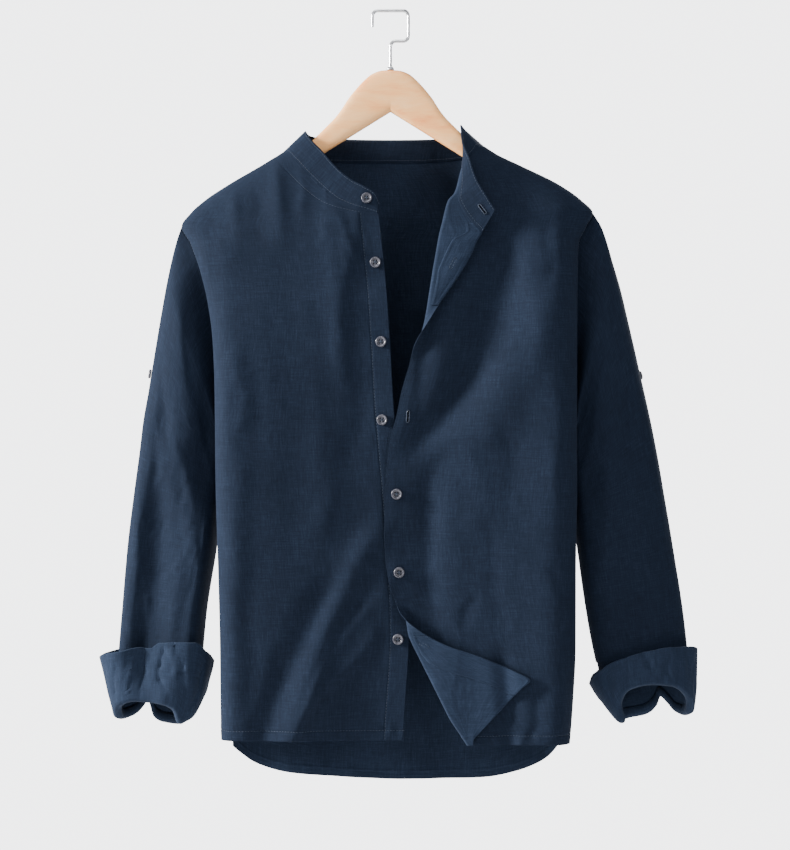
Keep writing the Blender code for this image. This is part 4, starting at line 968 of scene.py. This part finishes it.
# Outside of a sleeve: each ring is an oval from its outer line (0 degrees) over the front to its
# inner line (180); the first rings keep the armhole's own shape, which fades out. Valleys and
# creases pull the front and back in or push them out
def sleevePoint(side, ring, angle):
    rows = sleeveRows(side)
    ring, angle = np.broadcast_arrays(np.asarray(ring, float), np.asarray(angle, float))
    names = ("outerX", "outerZ", "innerX", "innerZ", "middle", "front", "back")
    ox, oz, ix, iz, middle, front, back = [readCurve(rows, name, ring, "ring") for name in names]
    turn = np.radians(angle)
    across = np.sign(np.cos(turn)) * np.abs(np.cos(turn)) ** sleeveForm["oval"]
    deep = np.sign(np.sin(turn)) * np.abs(np.sin(turn)) ** sleeveForm["oval"]
    valley = np.zeros(ring.shape)
    for place, first, last, depth, half, only in zip(*sleeveForm["valleys"].values()):
        ends = softStep((ring - first) / 3) * softStep((last - ring) / 3) * (only * side >= 0)
        valley = valley + depth * ends * np.exp(-((angle % 360 - place) / half) ** 2)
    y = middle - np.where(deep > 0, front, back) * deep
    fade = softStep(ring / 1.5) * softStep((18.5 - ring) / 1.5) * np.abs(deep)
    mirrored = angle % 360 + (0 if side < 0 else 7)
    relief = creaseField(sleeveForm["creases"], mirrored, ring * 30)
    relief = relief + sleeveForm["crumple"] * crumple(angle % 360 * 1.3, ring * 32, 37 + side)
    low = softStep((ring - sleeveForm["fineFrom"]) / 5)
    low = low * (1.0 if side < 0 else sleeveForm["fineRight"])
    relief = relief + low * sleeveForm["fine"] * crumple(angle % 360 * 2.4, ring * 64, 43 + side)
    y = y - np.sign(deep) * relief * fade
    y = y + np.sign(middle - y) * np.minimum(valley, 0.7 * np.abs(y - middle))
    first = [readCurve(rows, name, 0.0, "ring") for name in names[:4]]
    loop = armholeLoop(side, angle % 360)
    axis0 = np.array([first[0] - first[2], first[1] - first[3]]) / 2
    mid0 = np.array([first[0] + first[2], first[1] + first[3]]) / 2
    place0 = np.stack([side * loop[..., 0], loop[..., 2]], -1) - mid0
    along0 = place0 @ axis0 / (axis0 @ axis0)
    off0 = place0 @ np.array([-axis0[1], axis0[0]]) / np.hypot(*axis0)
    grown = softStep(ring / 3)
    along = grown * across + (1 - grown) * along0
    off = (1 - grown) * off0
    y = grown * y + (1 - grown) * loop[..., 1]
    axis = np.stack([ox - ix, oz - iz], -1) / 2
    normal = unitOf(np.stack([-axis[..., 1], axis[..., 0]], -1))
    x = (ox + ix) / 2 + along * axis[..., 0] + off * normal[..., 0]
    z = (oz + iz) / 2 + along * axis[..., 1] + off * normal[..., 1]
    x = x + (sleeveForm["seam"] + 0.1) * (1 - grown)
    clear = sleeveForm["seam"] + 1.5 * softStep(ring / 2)
    around = (angle + 180 - sleeveForm["underPlace"]) % 360 - 180
    under = (1 - grown) * np.exp(-(around / sleeveForm["underHalf"]) ** 2)
    x = np.maximum(x, bodySide(y, z, side) + clear) - sleeveForm["underIn"] * under
    return np.stack([side * x, y, z - sleeveForm["underDown"] * under], -1)


# The ring whose outer line is at this height
def ringAt(side, z):
    rows = sleeveRows(side)
    return np.interp(-z, -rows["outerZ"], rows["ring"])


cuffForm = {
    "thickness": 2.0, "leg": 10, "rollRadius": 2.2, "around": 150,
    "left": tableOf("angle fold top away", [
        (0, -782, -715, 13), (30, -767, -708, 8), (60, -761, -703, 4), (84, -762, -704, 3),
        (94, -763, -698, 3), (115, -769, -696.5, 3), (136, -786, -697, 3), (145, -784, -703, 3),
        (158, -781, -711, 4), (180, -762, -719, 4),
        (207, -781, -712, 3), (235, -791, -706, 3), (262, -789, -704, 3), (272, -785, -704, 3),
        (284, -764.5, -704, 3), (297, -775, -705, 4), (313, -781.5, -707, 6),
        (338, -784, -711, 10), (360, -782, -715, 13)]),
    "right": tableOf("angle fold top away", [
        (0, -777, -707, 3), (30, -757, -702, 3), (60, -744, -702, 3), (85, -742, -706, 3),
        (110, -747, -713, 3), (135, -765, -722, 4), (155, -786, -732, 5), (180, -768, -744, 5),
        (205, -786, -736, 4), (235, -784, -724, 3), (264, -781, -712, 3), (280, -772, -708, 3),
        (289, -760.5, -707, 3), (301, -768, -706, 3), (315, -777, -705, 3),
        (335, -780, -706, 3), (360, -777, -707, 3)]),
    "crumple": 0.9,
    # x is 1.3 mm for each degree round the cuff
    "creases": tableOf(creaseColumns, [
        (128, -700, 120, -728, 3, -2.6, 3.4, 0.3), (120, -724, 133, -748, -3, -2.4, 3.2, 0.3),
        (133, -742, 126, -772, 2, -1.8, 3.4, 0.2), (140, -700, 150, -740, 2, 1.6, 5, 0.2),
        (96, -706, 90, -752, 3, -1.4, 5, 0.2), (70, -712, 62, -758, -2, 1.4, 6, 0.2),
        (40, -716, 34, -764, 2, -1.5, 6, 0), (165, -715, 178, -765, 3, 1.8, 6, 0.2),
        (196, -716, 190, -768, 2, -1.6, 6, 0), (232, -714, 246, -776, 3, 1.5, 7, 0.2),
        (290, -714, 282, -784, 3, -1.6, 7, 0), (340, -712, 352, -774, -3, 1.7, 7, 0.2),
        (400, -712, 392, -770, 2, -1.6, 6, 0), (438, -716, 446, -772, 2, 1.4, 7, 0.2)]),
}


# A sleeve's rings, evenly down to ring 16 and from there to level rows that end inside the cuff
def sleeveGrid(side):
    angle = np.linspace(0, 360, sleeveForm["around"] + 1)[:-1]
    upper = sleevePoint(side, np.linspace(0, 16, sleeveForm["down"] - 26)[:, None], angle)
    fold = readCurve(cuffForm["right" if side > 0 else "left"], "fold", angle, "angle")
    share = np.linspace(0, 1, 27)[1:, None]
    z = upper[-1][:, 2] + (fold + cuffForm["leg"] - upper[-1][:, 2]) * share
    lower = sleevePoint(side, ringAt(side, z), np.broadcast_to(angle, z.shape))
    lower[..., 2] = z
    return np.concatenate([upper, lower])


# A cuff goes on down from the sleeve's end, turns over a small arc and comes up outside: offset
# and height are r - r cos and r - r sin round the arc, then the edge stands away as share^1.5
def cuffGrid(side, shares=44):
    angle = np.linspace(0, 360, cuffForm["around"] + 1)[:-1]
    rows = cuffForm["right" if side > 0 else "left"]
    fold, top, away = [readCurve(rows, name, angle, "angle") for name in ("fold", "top", "away")]
    r = cuffForm["rollRadius"] + cuffForm["thickness"] / 2
    turn = np.linspace(0, np.pi, 11)
    rise = np.linspace(0, 1, shares)[1:]
    offset = np.concatenate([[0, 0], r - r * np.cos(turn[1:]), np.full(len(rise), 2 * r)])[:, None]
    height = np.concatenate([[cuffForm["leg"] - 0.5, r], r - r * np.sin(turn[1:]),
                             np.full(len(rise), r)])[:, None]
    share = np.concatenate([np.zeros(12), rise])[:, None]
    z = fold + height + (top - fold - height) * share
    angles = np.broadcast_to(angle, z.shape)
    rings = ringAt(side, z)
    place = sleevePoint(side, rings, angles)
    ahead, behind = [sleevePoint(side, rings, angles + shift)[..., :2] for shift in (2, -2)]
    tangent = unitOf(ahead - behind)
    outward = side * np.stack([-tangent[..., 1], tangent[..., 0]], -1)
    centre = place[..., :2].mean(1, keepdims=True)
    outward = outward * np.sign((outward * (place[..., :2] - centre)).sum(-1))[..., None]
    move = offset + away * share ** 1.5
    relief = cuffForm["crumple"] * crumple(angles * 1.3, z, 51 + side)
    relief = relief + creaseField(cuffForm["creases"], angles * 1.3 + (12 if side > 0 else 0), z)
    relief = relief * softStep((angle + 2) / 14) * softStep((362 - angle) / 14)
    move = move + relief * softStep(share * 4)
    return np.dstack([place[..., :2] + outward * move[..., None], z])


sleeveGrids, cuffGrids = {}, {}
for sideName, side, cutSize, cutArea, cuffCut in (
        ("Left", -1, (0.38, 0.56), 0.118, (0.30, 0.085)),
        ("Right", 1, (0.38, 0.58), 0.122, (0.30, 0.075))):
    sleeveGrids[side] = sleeveGrid(side)
    addCloth("sleeve" + sideName, "sleeve_" + sideName.lower(), sleeveGrids[side],
             sleeveForm["thickness"], [outsideLinen, insideLinen], "navy_linen", cutSize, cutArea,
             closed=True, flip=side < 0)
    cuffGrids[side] = cuffGrid(side)
    addCloth("cuff" + sideName, "cuff_" + sideName.lower(), cuffGrids[side],
             cuffForm["thickness"], [insideLinen], "navy_linen_inside", cuffCut,
             closed=True, flip=side < 0)
print("stage: sleeves")


# The band: its upper edge from the left end (0) over the shoulders (1 and 2) to the right end (3)
collarForm = {
    "thickness": 1.6, "leftEnd": -224.6, "rightEnd": -248, "tuck": 1.2, "up": 26,
    "edge": tableOf("place x y z", [
        (0.00, -11.8, -31, -214.5), (0.03, -16.5, -30.5, -203.5), (0.09, -28, -30, -195.8),
        (0.19, -41, -28, -189), (0.42, -58.5, -24, -175), (0.72, -76, -17.5, -154.8),
        (0.98, -92, -8, -136.5), (1.02, -94.5, -2, -131.5), (1.10, -90, 11, -135.5),
        (1.25, -68, 22, -138), (1.50, 0, 28, -138.5), (1.75, 62, 22, -138),
        (1.90, 79, 12, -133.5), (2.00, 78.5, 1, -124.5), (2.08, 79, -13, -137),
        (2.19, 81, -24, -149), (2.35, 87, -34, -165.5), (2.49, 92, -36, -182),
        (2.63, 97.5, -38, -194), (2.72, 103, -39, -203), (2.84, 109, -40, -213),
        (3.00, 115, -41, -222.5),
    ]),
}


# The band stands on the necklines: lower edge from the three panels, upper edge from the table,
# and each point lies a share of the way between them
def collarGrid():
    leftZ = np.linspace(collarForm["leftEnd"], frontForm["left"]["z"][0], 400)
    left = evenSteps(leftEdge(leftZ)[None], 110)[0]
    neck = evenSteps(backLines(0.0), 130)[0]
    rightZ = np.linspace(frontForm["right"]["z"][0], collarForm["rightEnd"], 110)
    right = rightRows(rightZ, 4, 6, 8)[:, -1]
    base = np.vstack([left, neck[1:-1], right])
    rise = (left[:, 2] - left[0, 2]) / (left[-1, 2] - left[0, 2])
    place = np.concatenate([rise, np.linspace(1.02, 1.98, 130)[1:-1], np.linspace(2, 3, 110)])
    top = np.stack([readCurve(collarForm["edge"], name, place, "place") for name in "xyz"], -1)
    up = unitOf(top - base)
    share = np.linspace(0, 1, collarForm["up"])[:, None, None]
    return base - up * collarForm["tuck"] + (top - base + up * collarForm["tuck"]) * share


bandGrid = collarGrid()
addCloth("collarBand", "collar_band", bandGrid, collarForm["thickness"], [outsideLinen],
         "navy_linen", (0.52, 0.03), flip=True)
print("stage: collar")


# The sewn line beside a front's armhole, from the shoulder's tip to just above the underarm
def armholeRun(panel, normals):
    line, up = insetLine(panel[:, ::-1], normals[:, ::-1], seams["armhole"])
    low = line[:, 2] > bodyForm["underarm"] + 8
    return line[low], up[low]


bandNormals = -gridNormals(bandGrid)
bandTop = insetLine(bandGrid.swapaxes(0, 1), bandNormals.swapaxes(0, 1), seams["band"])
bandLow = (bandGrid[3], bandNormals[3])
bandInside = [(line - up * collarForm["thickness"], -up) for line, up in (bandTop, bandLow)]
cornerNormals, lapelNormals = -gridNormals(cornerGrid), -gridNormals(lapelGrid)
stripRuns = []
for strip, normals in ((lapelGrid, lapelNormals), (cornerGrid, cornerNormals)):
    stripRuns += [insetLine(strip, normals, seams["strip"]), (strip[:, 2], normals[:, 2])]
stitchForm = {"pitch": 3.3, "length": 2.4, "width": 0.5, "raised": 0.05}
runs = {
    "placketThread": [insetLine(leftGrid[18:], leftNormals[18:], seams["placket"])],
    "hemThread": [insetLine(grid.swapaxes(0, 1), normals.swapaxes(0, 1), inset)
                  for grid, normals, inset in (
                      (leftGrid, leftNormals, seams["hem"]),
                      (rightGrid[:, :rightColumns["run"]], rightNormals[:, :rightColumns["run"]],
                       seams["hem"]),
                      (backGrid, gridNormals(backGrid), seams["hem"] - 2))],
    "armholeThread": [armholeRun(leftGrid[44:], leftNormals[44:]),
                      armholeRun(rightGrid[46:], rightNormals[46:])],
    "bandThread": [bandTop, bandLow] + bandInside,
    "stripThread": stripRuns,
}
for side, grid in cuffGrids.items():
    normals = gridNormals(grid, True) * (-1 if side < 0 else 1)
    upper = insetLine(grid.swapaxes(0, 1), normals.swapaxes(0, 1), seams["cuff"])
    runs["cuffThread" + ("Left" if side < 0 else "Right")] = [upper, (grid[14], normals[14])]
for name, lines in runs.items():
    addStitches(name, [(line + up * stitchForm["raised"], up) for line, up in lines],
                stitchForm["pitch"], stitchForm["length"], stitchForm["width"])


# A worked buttonhole: a tube of thread round a slot, with a dark sheet inside it that is painted
# shade in the slot. The path is two straight sides joined by half circles
buttonholeForm = {
    "length": 13.0, "width": 1.5, "thread": 0.55, "raised": 0.25, "slotShadeRaised": 0.12, "knots": 0.22,
    # inside the band's right end: first column of the part searched, x and z, and its long side
    "bandFrom": 260, "bandPlace": (101, -222), "bandRun": (0.62, -0.78),
    # surface, x, z, and the way its long side runs (x, z)
    "places": [("strip", 68, -281, (0.46, 0.88)), ("flap", 36, -697.5, (0.86, -0.5)),
               ("front", 19.5, -450, (0.05, 1.0))],
}


def buttonholeAt(name, point, along, up):
    side = unitOf(np.cross(up, along))
    along = unitOf(np.cross(side, up))
    half, wide = buttonholeForm["length"] / 2 - buttonholeForm["width"], buttonholeForm["width"]
    turn = np.linspace(-np.pi / 2, np.pi / 2, 10)
    path = np.vstack([np.stack([half + wide * np.cos(turn), wide * np.sin(turn)], -1),
                      np.stack([-half - wide * np.cos(turn), -wide * np.sin(turn)], -1)])
    steps = np.linspace(0, 1, 7)[:-1]
    after = np.roll(path, -1, 0)
    path = (path[:, None] + (after - path)[:, None] * steps[None, :, None]).reshape(-1, 2)
    ahead = unitOf(np.roll(path, -1, 0) - np.roll(path, 1, 0))
    outwards = np.stack([ahead[:, 1], -ahead[:, 0]], -1)
    ring = np.radians(np.arange(6) * 60)
    knot = 1 + buttonholeForm["knots"] * np.cos(np.arange(len(path)) * np.pi)
    wall = buttonholeForm["thread"] * knot
    flat = path[:, None] + outwards[:, None] * (np.cos(ring)[None] * wall[:, None])[..., None]
    height = np.sin(ring)[None] * wall[:, None] + buttonholeForm["raised"]
    points = point + flat[..., :1] * along + flat[..., 1:] * side + height[..., None] * up
    number = np.arange(len(path) * 6).reshape(-1, 6)
    forward = np.roll(number, -1, 0)
    faces = np.stack([number, forward, np.roll(forward, -1, 1), np.roll(number, -1, 1)], -1)
    newPiece(name + "Thread", points.reshape(-1, 3), faces.reshape(-1, 4)[:, ::-1].tolist(),
             [threadMaterial])
    # The sheet in the slot, painted shade a little above the cloth
    slotShadePoints = point + path[:, :1] * along + path[:, 1:] * side
    slotShadePoints = slotShadePoints + buttonholeForm["slotShadeRaised"] * up
    newPiece(name + "Slot", slotShadePoints, [list(range(len(path)))[::-1]], [shadowMaterial])


# The point of a surface nearest to x and z as seen from the front, with its direction
def nearestOn(grid, normals, x, z):
    away = (grid[..., 0] - x) ** 2 + (grid[..., 2] - z) ** 2
    row, column = np.unravel_index(np.argmin(away), away.shape)
    return grid[row, column], normals[row, column]


visibleRight = rightGrid[:, :rightColumns["run"]]
visibleNormals = rightNormals[:, :rightColumns["run"]]
for number, (kind, x, z, (dx, dz)) in enumerate(buttonholeForm["places"]):
    grid, normals = {"strip": (lapelGrid, lapelNormals), "flap": (cornerGrid, cornerNormals),
                     "front": (visibleRight, visibleNormals)}[kind]
    point, up = nearestOn(grid, normals, x, z)
    up = up if up[1] < 0 else -up
    buttonholeAt("buttonhole%d" % (number + 1), point, np.array([dx, 0, dz]), up)
bandEnd, bandOut = [part[:, buttonholeForm["bandFrom"]:] for part in (bandGrid, bandNormals)]
bandPoint, bandUp = nearestOn(bandEnd - bandOut * collarForm["thickness"], -bandOut,
                              *buttonholeForm["bandPlace"])
dx, dz = buttonholeForm["bandRun"]
buttonholeAt("buttonhole4", bandPoint, np.array([dx, 0, dz]), bandUp)
print("stage: sewn lines")


# The buttons: x and z of those in front, over is 1 on the right front, and the side, ring and
# angle of those on the sleeves
buttonForm = {
    "raised": 0.35, "sleeveRaised": 0.4,
    "radius": 6.0, "sleeveRadius": 5.0, "thick": 2.6, "holeRadius": 0.85, "holePlace": 1.5,
    "places": tableOf("x z over", [
        (-26.3, -209.2, 0), (-16.4, -280, 0), (-10.3, -367, 0), (-9.2, -452.4, 0),
        (6.7, -533.3, 1), (9.3, -619, 1), (8.3, -692.4, 0)]),
    "names": ["button_collar"] + ["button_%d" % number for number in range(1, 7)],
    "sleeves": {"button_sleeve_left": (-1, 6.3, 8), "button_sleeve_right": (1, 7.0, 350)},
}


# A four-hole button: the height is a curve of the distance from the middle, a rounded rim and a
# dish, with a round pit of 1.7 mm at each hole
def buttonShape(radius):
    share = np.concatenate([np.linspace(0, 0.52, 26), np.linspace(0.54, 1, 16)])
    turn = np.linspace(0, 2 * np.pi, 65)[:-1]
    profile = tableOf("r h", [(0, 0.66), (0.45, 0.66), (0.62, 0.72), (0.74, 0.92), (0.84, 1.0),
                              (0.93, 0.9), (0.985, 0.68), (1.0, 0.5)])
    r, a = np.meshgrid(share, turn, indexing="ij")
    x, y = r * np.cos(a) * radius, r * np.sin(a) * radius
    h = readCurve(profile, "h", r, "r") * buttonForm["thick"]
    size = radius / buttonForm["radius"]
    for sx in (-1, 1):
        for sy in (-1, 1):
            away = np.hypot(x - sx * buttonForm["holePlace"] * size,
                            y - sy * buttonForm["holePlace"] * size)
            h = h - 1.7 * softStep((buttonForm["holeRadius"] * size + 0.25 - away) / 0.35)
    top = np.stack([x, y, h], -1)
    low = np.array([1.0, 0.9, 0.0])
    lowHeight = np.array([0.25, 0.0, 0.0])
    under = np.stack([(low[:, None] * np.cos(turn)) * radius,
                      (low[:, None] * np.sin(turn)) * radius,
                      np.broadcast_to(lowHeight[:, None] * buttonForm["thick"], (3, 64))], -1)
    rings = np.concatenate([top[1:], under[:2]])
    count = len(rings)
    number = np.arange(count * 64).reshape(count, 64)
    after = np.roll(number, -1, 1)
    faces = np.stack([number[:-1], number[1:], after[1:], after[:-1]], -1).reshape(-1, 4).tolist()
    points = np.vstack([rings.reshape(-1, 3), [[0, 0, top[0, 0, 2]], [0, 0, 0]]])
    middle, bottom = count * 64, count * 64 + 1
    faces += [[middle, int(i), int(j)] for i, j in zip(number[0], after[0])]
    faces += [[bottom, int(j), int(i)] for i, j in zip(number[-1], after[-1])]
    return points, faces


# A button's three directions as rows, and its place
def buttonFrame(outward, centre):
    side = unitOf(np.cross([0, 0, 1.0], outward))
    return np.stack([side, np.cross(outward, side), outward]), centre


# Threads of a button: two bars that cross between the holes, each a bowed tube
def threadShape(radius):
    size = radius / buttonForm["radius"]
    place = buttonForm["holePlace"] * size
    t = np.linspace(-1, 1, 9)
    turn = np.radians(np.arange(6) * 60)
    points, faces = [], []
    for number, slope in enumerate((1, -1)):
        for shift in (-0.28, 0.28):
            x = t * place + shift
            y = slope * t * place + shift * -slope
            z = 0.62 * buttonForm["thick"] + 0.75 * (1 - t ** 4) - 0.55
            z = z + 0.25 * number * (1 - t * t)
            side, up = np.array([-slope, 1, 0]) / np.sqrt(2), np.array([0, 0, 1])
            ring = (np.cos(turn)[:, None] * side + np.sin(turn)[:, None] * up) * 0.3
            base = sum(len(p) for p in points)
            points.append((np.stack([x, y, z], -1)[:, None] + ring[None]).reshape(-1, 3))
            grid = np.arange(54).reshape(9, 6) + base
            after = np.roll(grid, -1, 1)
            quads = np.stack([grid[:-1], after[:-1], after[1:], grid[1:]], -1).reshape(-1, 4)
            faces += (quads if slope > 0 else quads[:, ::-1]).tolist()
            faces += [grid[0][::-1].tolist(), grid[-1].tolist()]
    return np.vstack(points), faces


# A button's disc in place of its solid, and its threads
def addButton(node, outward, centre, radius):
    turn, shift = buttonFrame(outward, centre)
    points, faces = buttonShape(radius)
    disc = newPiece(node + "Disc", points @ turn + shift, faces, [buttonMaterial])
    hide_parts(node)
    points, faces = threadShape(radius)
    newPiece(node + "Thread", points @ turn + shift, faces, [threadMaterial])


# The surfaces that the buttons lie on, and the direction out of them
def rightSurface(x, z):
    y = bodyPoint(z, angleAt(x, z))[..., 1] - frontLift(x, z)
    return np.stack(np.broadcast_arrays(x, y, z), -1)


def frontSurface(x, z):
    return bodyPoint(z, angleAt(x, z))


# The direction out of a surface at a place, from its slope over a step each way
def surfaceNormal(surface, x, z, step=5.0):
    x, z = np.float64(x), np.float64(z)
    along = surface(x + step, z) - surface(x - step, z)
    down = surface(x, z + step) - surface(x, z - step)
    normal = unitOf(np.cross(along, down))
    return normal if normal[1] < 0 else -normal


for node, x, z, over in zip(buttonForm["names"], *buttonForm["places"].values()):
    surface = rightSurface if over else frontSurface
    if node == "button_collar":
        middle = bandGrid[len(bandGrid) // 2]
        near = int(np.argmin(np.hypot(middle[:150, 0] - x, middle[:150, 2] - z)))
        point = np.array([x, middle[near, 1], z])
        outward = unitOf(np.cross(middle[near + 6] - middle[near - 6],
                                  bandGrid[-1][near] - bandGrid[0][near]))
        outward = outward if outward[1] < 0 else -outward
    else:
        point = surface(np.float64(x), np.float64(z))
        outward = surfaceNormal(surface, x, z)
    addButton(node, outward, point + outward * buttonForm["raised"], buttonForm["radius"])

for node, (side, ring, angle) in buttonForm["sleeves"].items():
    point = sleevePoint(side, ring, angle)
    along = sleevePoint(side, ring, angle + 4) - sleevePoint(side, ring, angle - 4)
    down = sleevePoint(side, ring + 0.3, angle) - sleevePoint(side, ring - 0.3, angle)
    outward = unitOf(np.cross(along, down))
    outward = outward if outward[0] * side > 0 else -outward
    addButton(node, outward, point + outward * buttonForm["sleeveRaised"],
              buttonForm["sleeveRadius"])
print("stage: buttons")


# The hanger: the upper edge of its head from the joint outwards, and the sizes of arms and hook
hangerForm = {
    "thickness": 12.0, "slope": np.radians(31.8), "tip": 206.0, "width": 18.0, "apex": -110.8,
    "joint": 0.01, "wire": 3.6, "hookWidth": 40.0, "hookFoot": -60.4, "hookShoulder": -32.0,
    "hookEnd": -16.0, "hookBend": 6.0, "square": 3.2,
    "upper": tableOf("x z", [
        (0.01, -64), (10, -64.8), (20, -68.3), (29, -75.5), (38, -85.2), (47, -96.5),
        (54, -107.5), (61, -116.8), (70, -126), (78, -134), (87, -142.5), (98, -151.5),
        (108, -158), (119, -164)]),
}


# Half of the hanger as rings along x: each is a rounded rectangle |y|^n + |z|^n = 1 between the
# upper and lower edge, and the rings close up in a half circle at the tip
def boardRings(side):
    form = hangerForm
    slope = np.tan(form["slope"])
    across = np.linspace(0, np.pi / 2, 40)
    straight = np.linspace(form["joint"], form["tip"] - form["width"] / 2, 150)
    rounded = straight[-1] + form["width"] / 2 * np.sin(across[1:])
    x = np.concatenate([straight, rounded])
    lower = form["apex"] - (x - form["joint"]) * slope
    armTop = lower + form["width"] / np.cos(form["slope"])
    blend = softStep((x - 104) / 24)
    upper = np.where(x < 119, readCurve(form["upper"], "z", np.minimum(x, 119), "x"), armTop)
    upper = upper * (1 - blend) + armTop * blend
    shrink = np.concatenate([np.ones(len(straight)), np.cos(across[1:])])
    middle, half = (upper + lower) / 2, (upper - lower) / 2 * shrink
    turn = np.linspace(0, 2 * np.pi, 49)[:-1]
    power = 2 / form["square"]
    y = np.sign(np.cos(turn)) * np.abs(np.cos(turn)) ** power * form["thickness"] / 2
    up = np.sign(np.sin(turn)) * np.abs(np.sin(turn)) ** power
    depth = np.maximum(shrink, 0.02) ** 0.5
    return np.stack([np.broadcast_to(side * x[:, None], (len(x), 48)), y[None] * depth[:, None],
                     middle[:, None] + up[None] * half[:, None]], -1)


# A closed skin over rings of points, with a flat cap at each end
def skinned(name, rings, material, node, turned=False):
    count, around = rings.shape[:2]
    number = np.arange(count * around).reshape(count, around)
    ahead = np.roll(number, -1, 1)
    faces = np.stack([number[:-1], ahead[:-1], ahead[1:], number[1:]], -1).reshape(-1, 4)
    caps = [number[0][::-1], number[-1]]
    if turned:
        faces, caps = faces[:, ::-1], [cap[::-1] for cap in caps]
    piece = newPiece(name, rings.reshape(-1, 3), faces.tolist() + [cap.tolist() for cap in caps],
                     [material])
    for cap in piece.data.polygons[len(faces):]:
        cap.use_smooth = False
    last = (count - 1) * around
    for edge in piece.data.edges:
        low, high = min(edge.vertices), max(edge.vertices)
        edge.use_edge_sharp = high < around or low >= last
    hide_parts(node)


# The wire's middle line: straight runs joined by quarter circles
def hookLine():
    form = hangerForm
    half, top, bend = form["hookWidth"] / 2, form["wire"] / 2, form["hookBend"]
    corners = np.array([(0, form["hookFoot"]), (0, form["hookShoulder"]),
                        (half, form["hookShoulder"]), (half, top), (-half, top),
                        (-half, form["hookEnd"])], float)
    line = [corners[0]]
    t = np.linspace(0, np.pi / 2, 14)[:, None]
    for before, here, after in zip(corners, corners[1:], corners[2:]):
        back = here + unitOf(before - here) * bend
        ahead = here + unitOf(after - here) * bend
        centre = back + ahead - here
        line += list(centre + (back - centre) * np.cos(t) + (ahead - centre) * np.sin(t))
    line.append(corners[-1])
    return np.array(line)


# Round rings along the wire's line
def hookRings():
    line = hookLine()
    ahead = unitOf(np.gradient(line, axis=0))
    side = np.stack([ahead[:, 1], -ahead[:, 0]], -1)
    turn = np.linspace(0, 2 * np.pi, 25)[:-1]
    reach = np.full(len(line), hangerForm["wire"] / 2)
    flat = line[:, None] + side[:, None] * (reach[:, None] * np.cos(turn)[None])[..., None]
    depth = reach[:, None] * np.sin(turn)[None]
    return np.stack([flat[..., 0], depth, flat[..., 1]], -1)


for sideName, side in (("Left", -1), ("Right", 1)):
    skinned("hangerArm" + sideName, boardRings(side), woodMaterial,
            "hanger_arm_" + sideName.lower(), turned=side > 0)
skinned("hangerHook", hookRings(), steelMaterial, "hanger_hook")
ferrule = bpy.data.objects["hanger_ferrule"]
ferrule.data.materials.clear()
ferrule.data.materials.append(steelMaterial)
print("stage: hanger")


floorMesh = bpy.data.meshes.new("paleFloor")
half, low = studio["floorSize"], studio["floorHeight"]
floorMesh.from_pydata([(-half, -half, low), (half, -half, low), (half, half, low),
                       (-half, half, low)], [], [(0, 1, 2, 3)])
floorMaterial, _, floorShader = newMaterial("paleFloor", 0.8)
floorShader.inputs["Base Color"].default_value = studio["floorColour"]
floorMesh.materials.append(floorMaterial)
floor = bpy.data.objects.new("paleFloor", floorMesh)
bpy.context.scene.collection.objects.link(floor)
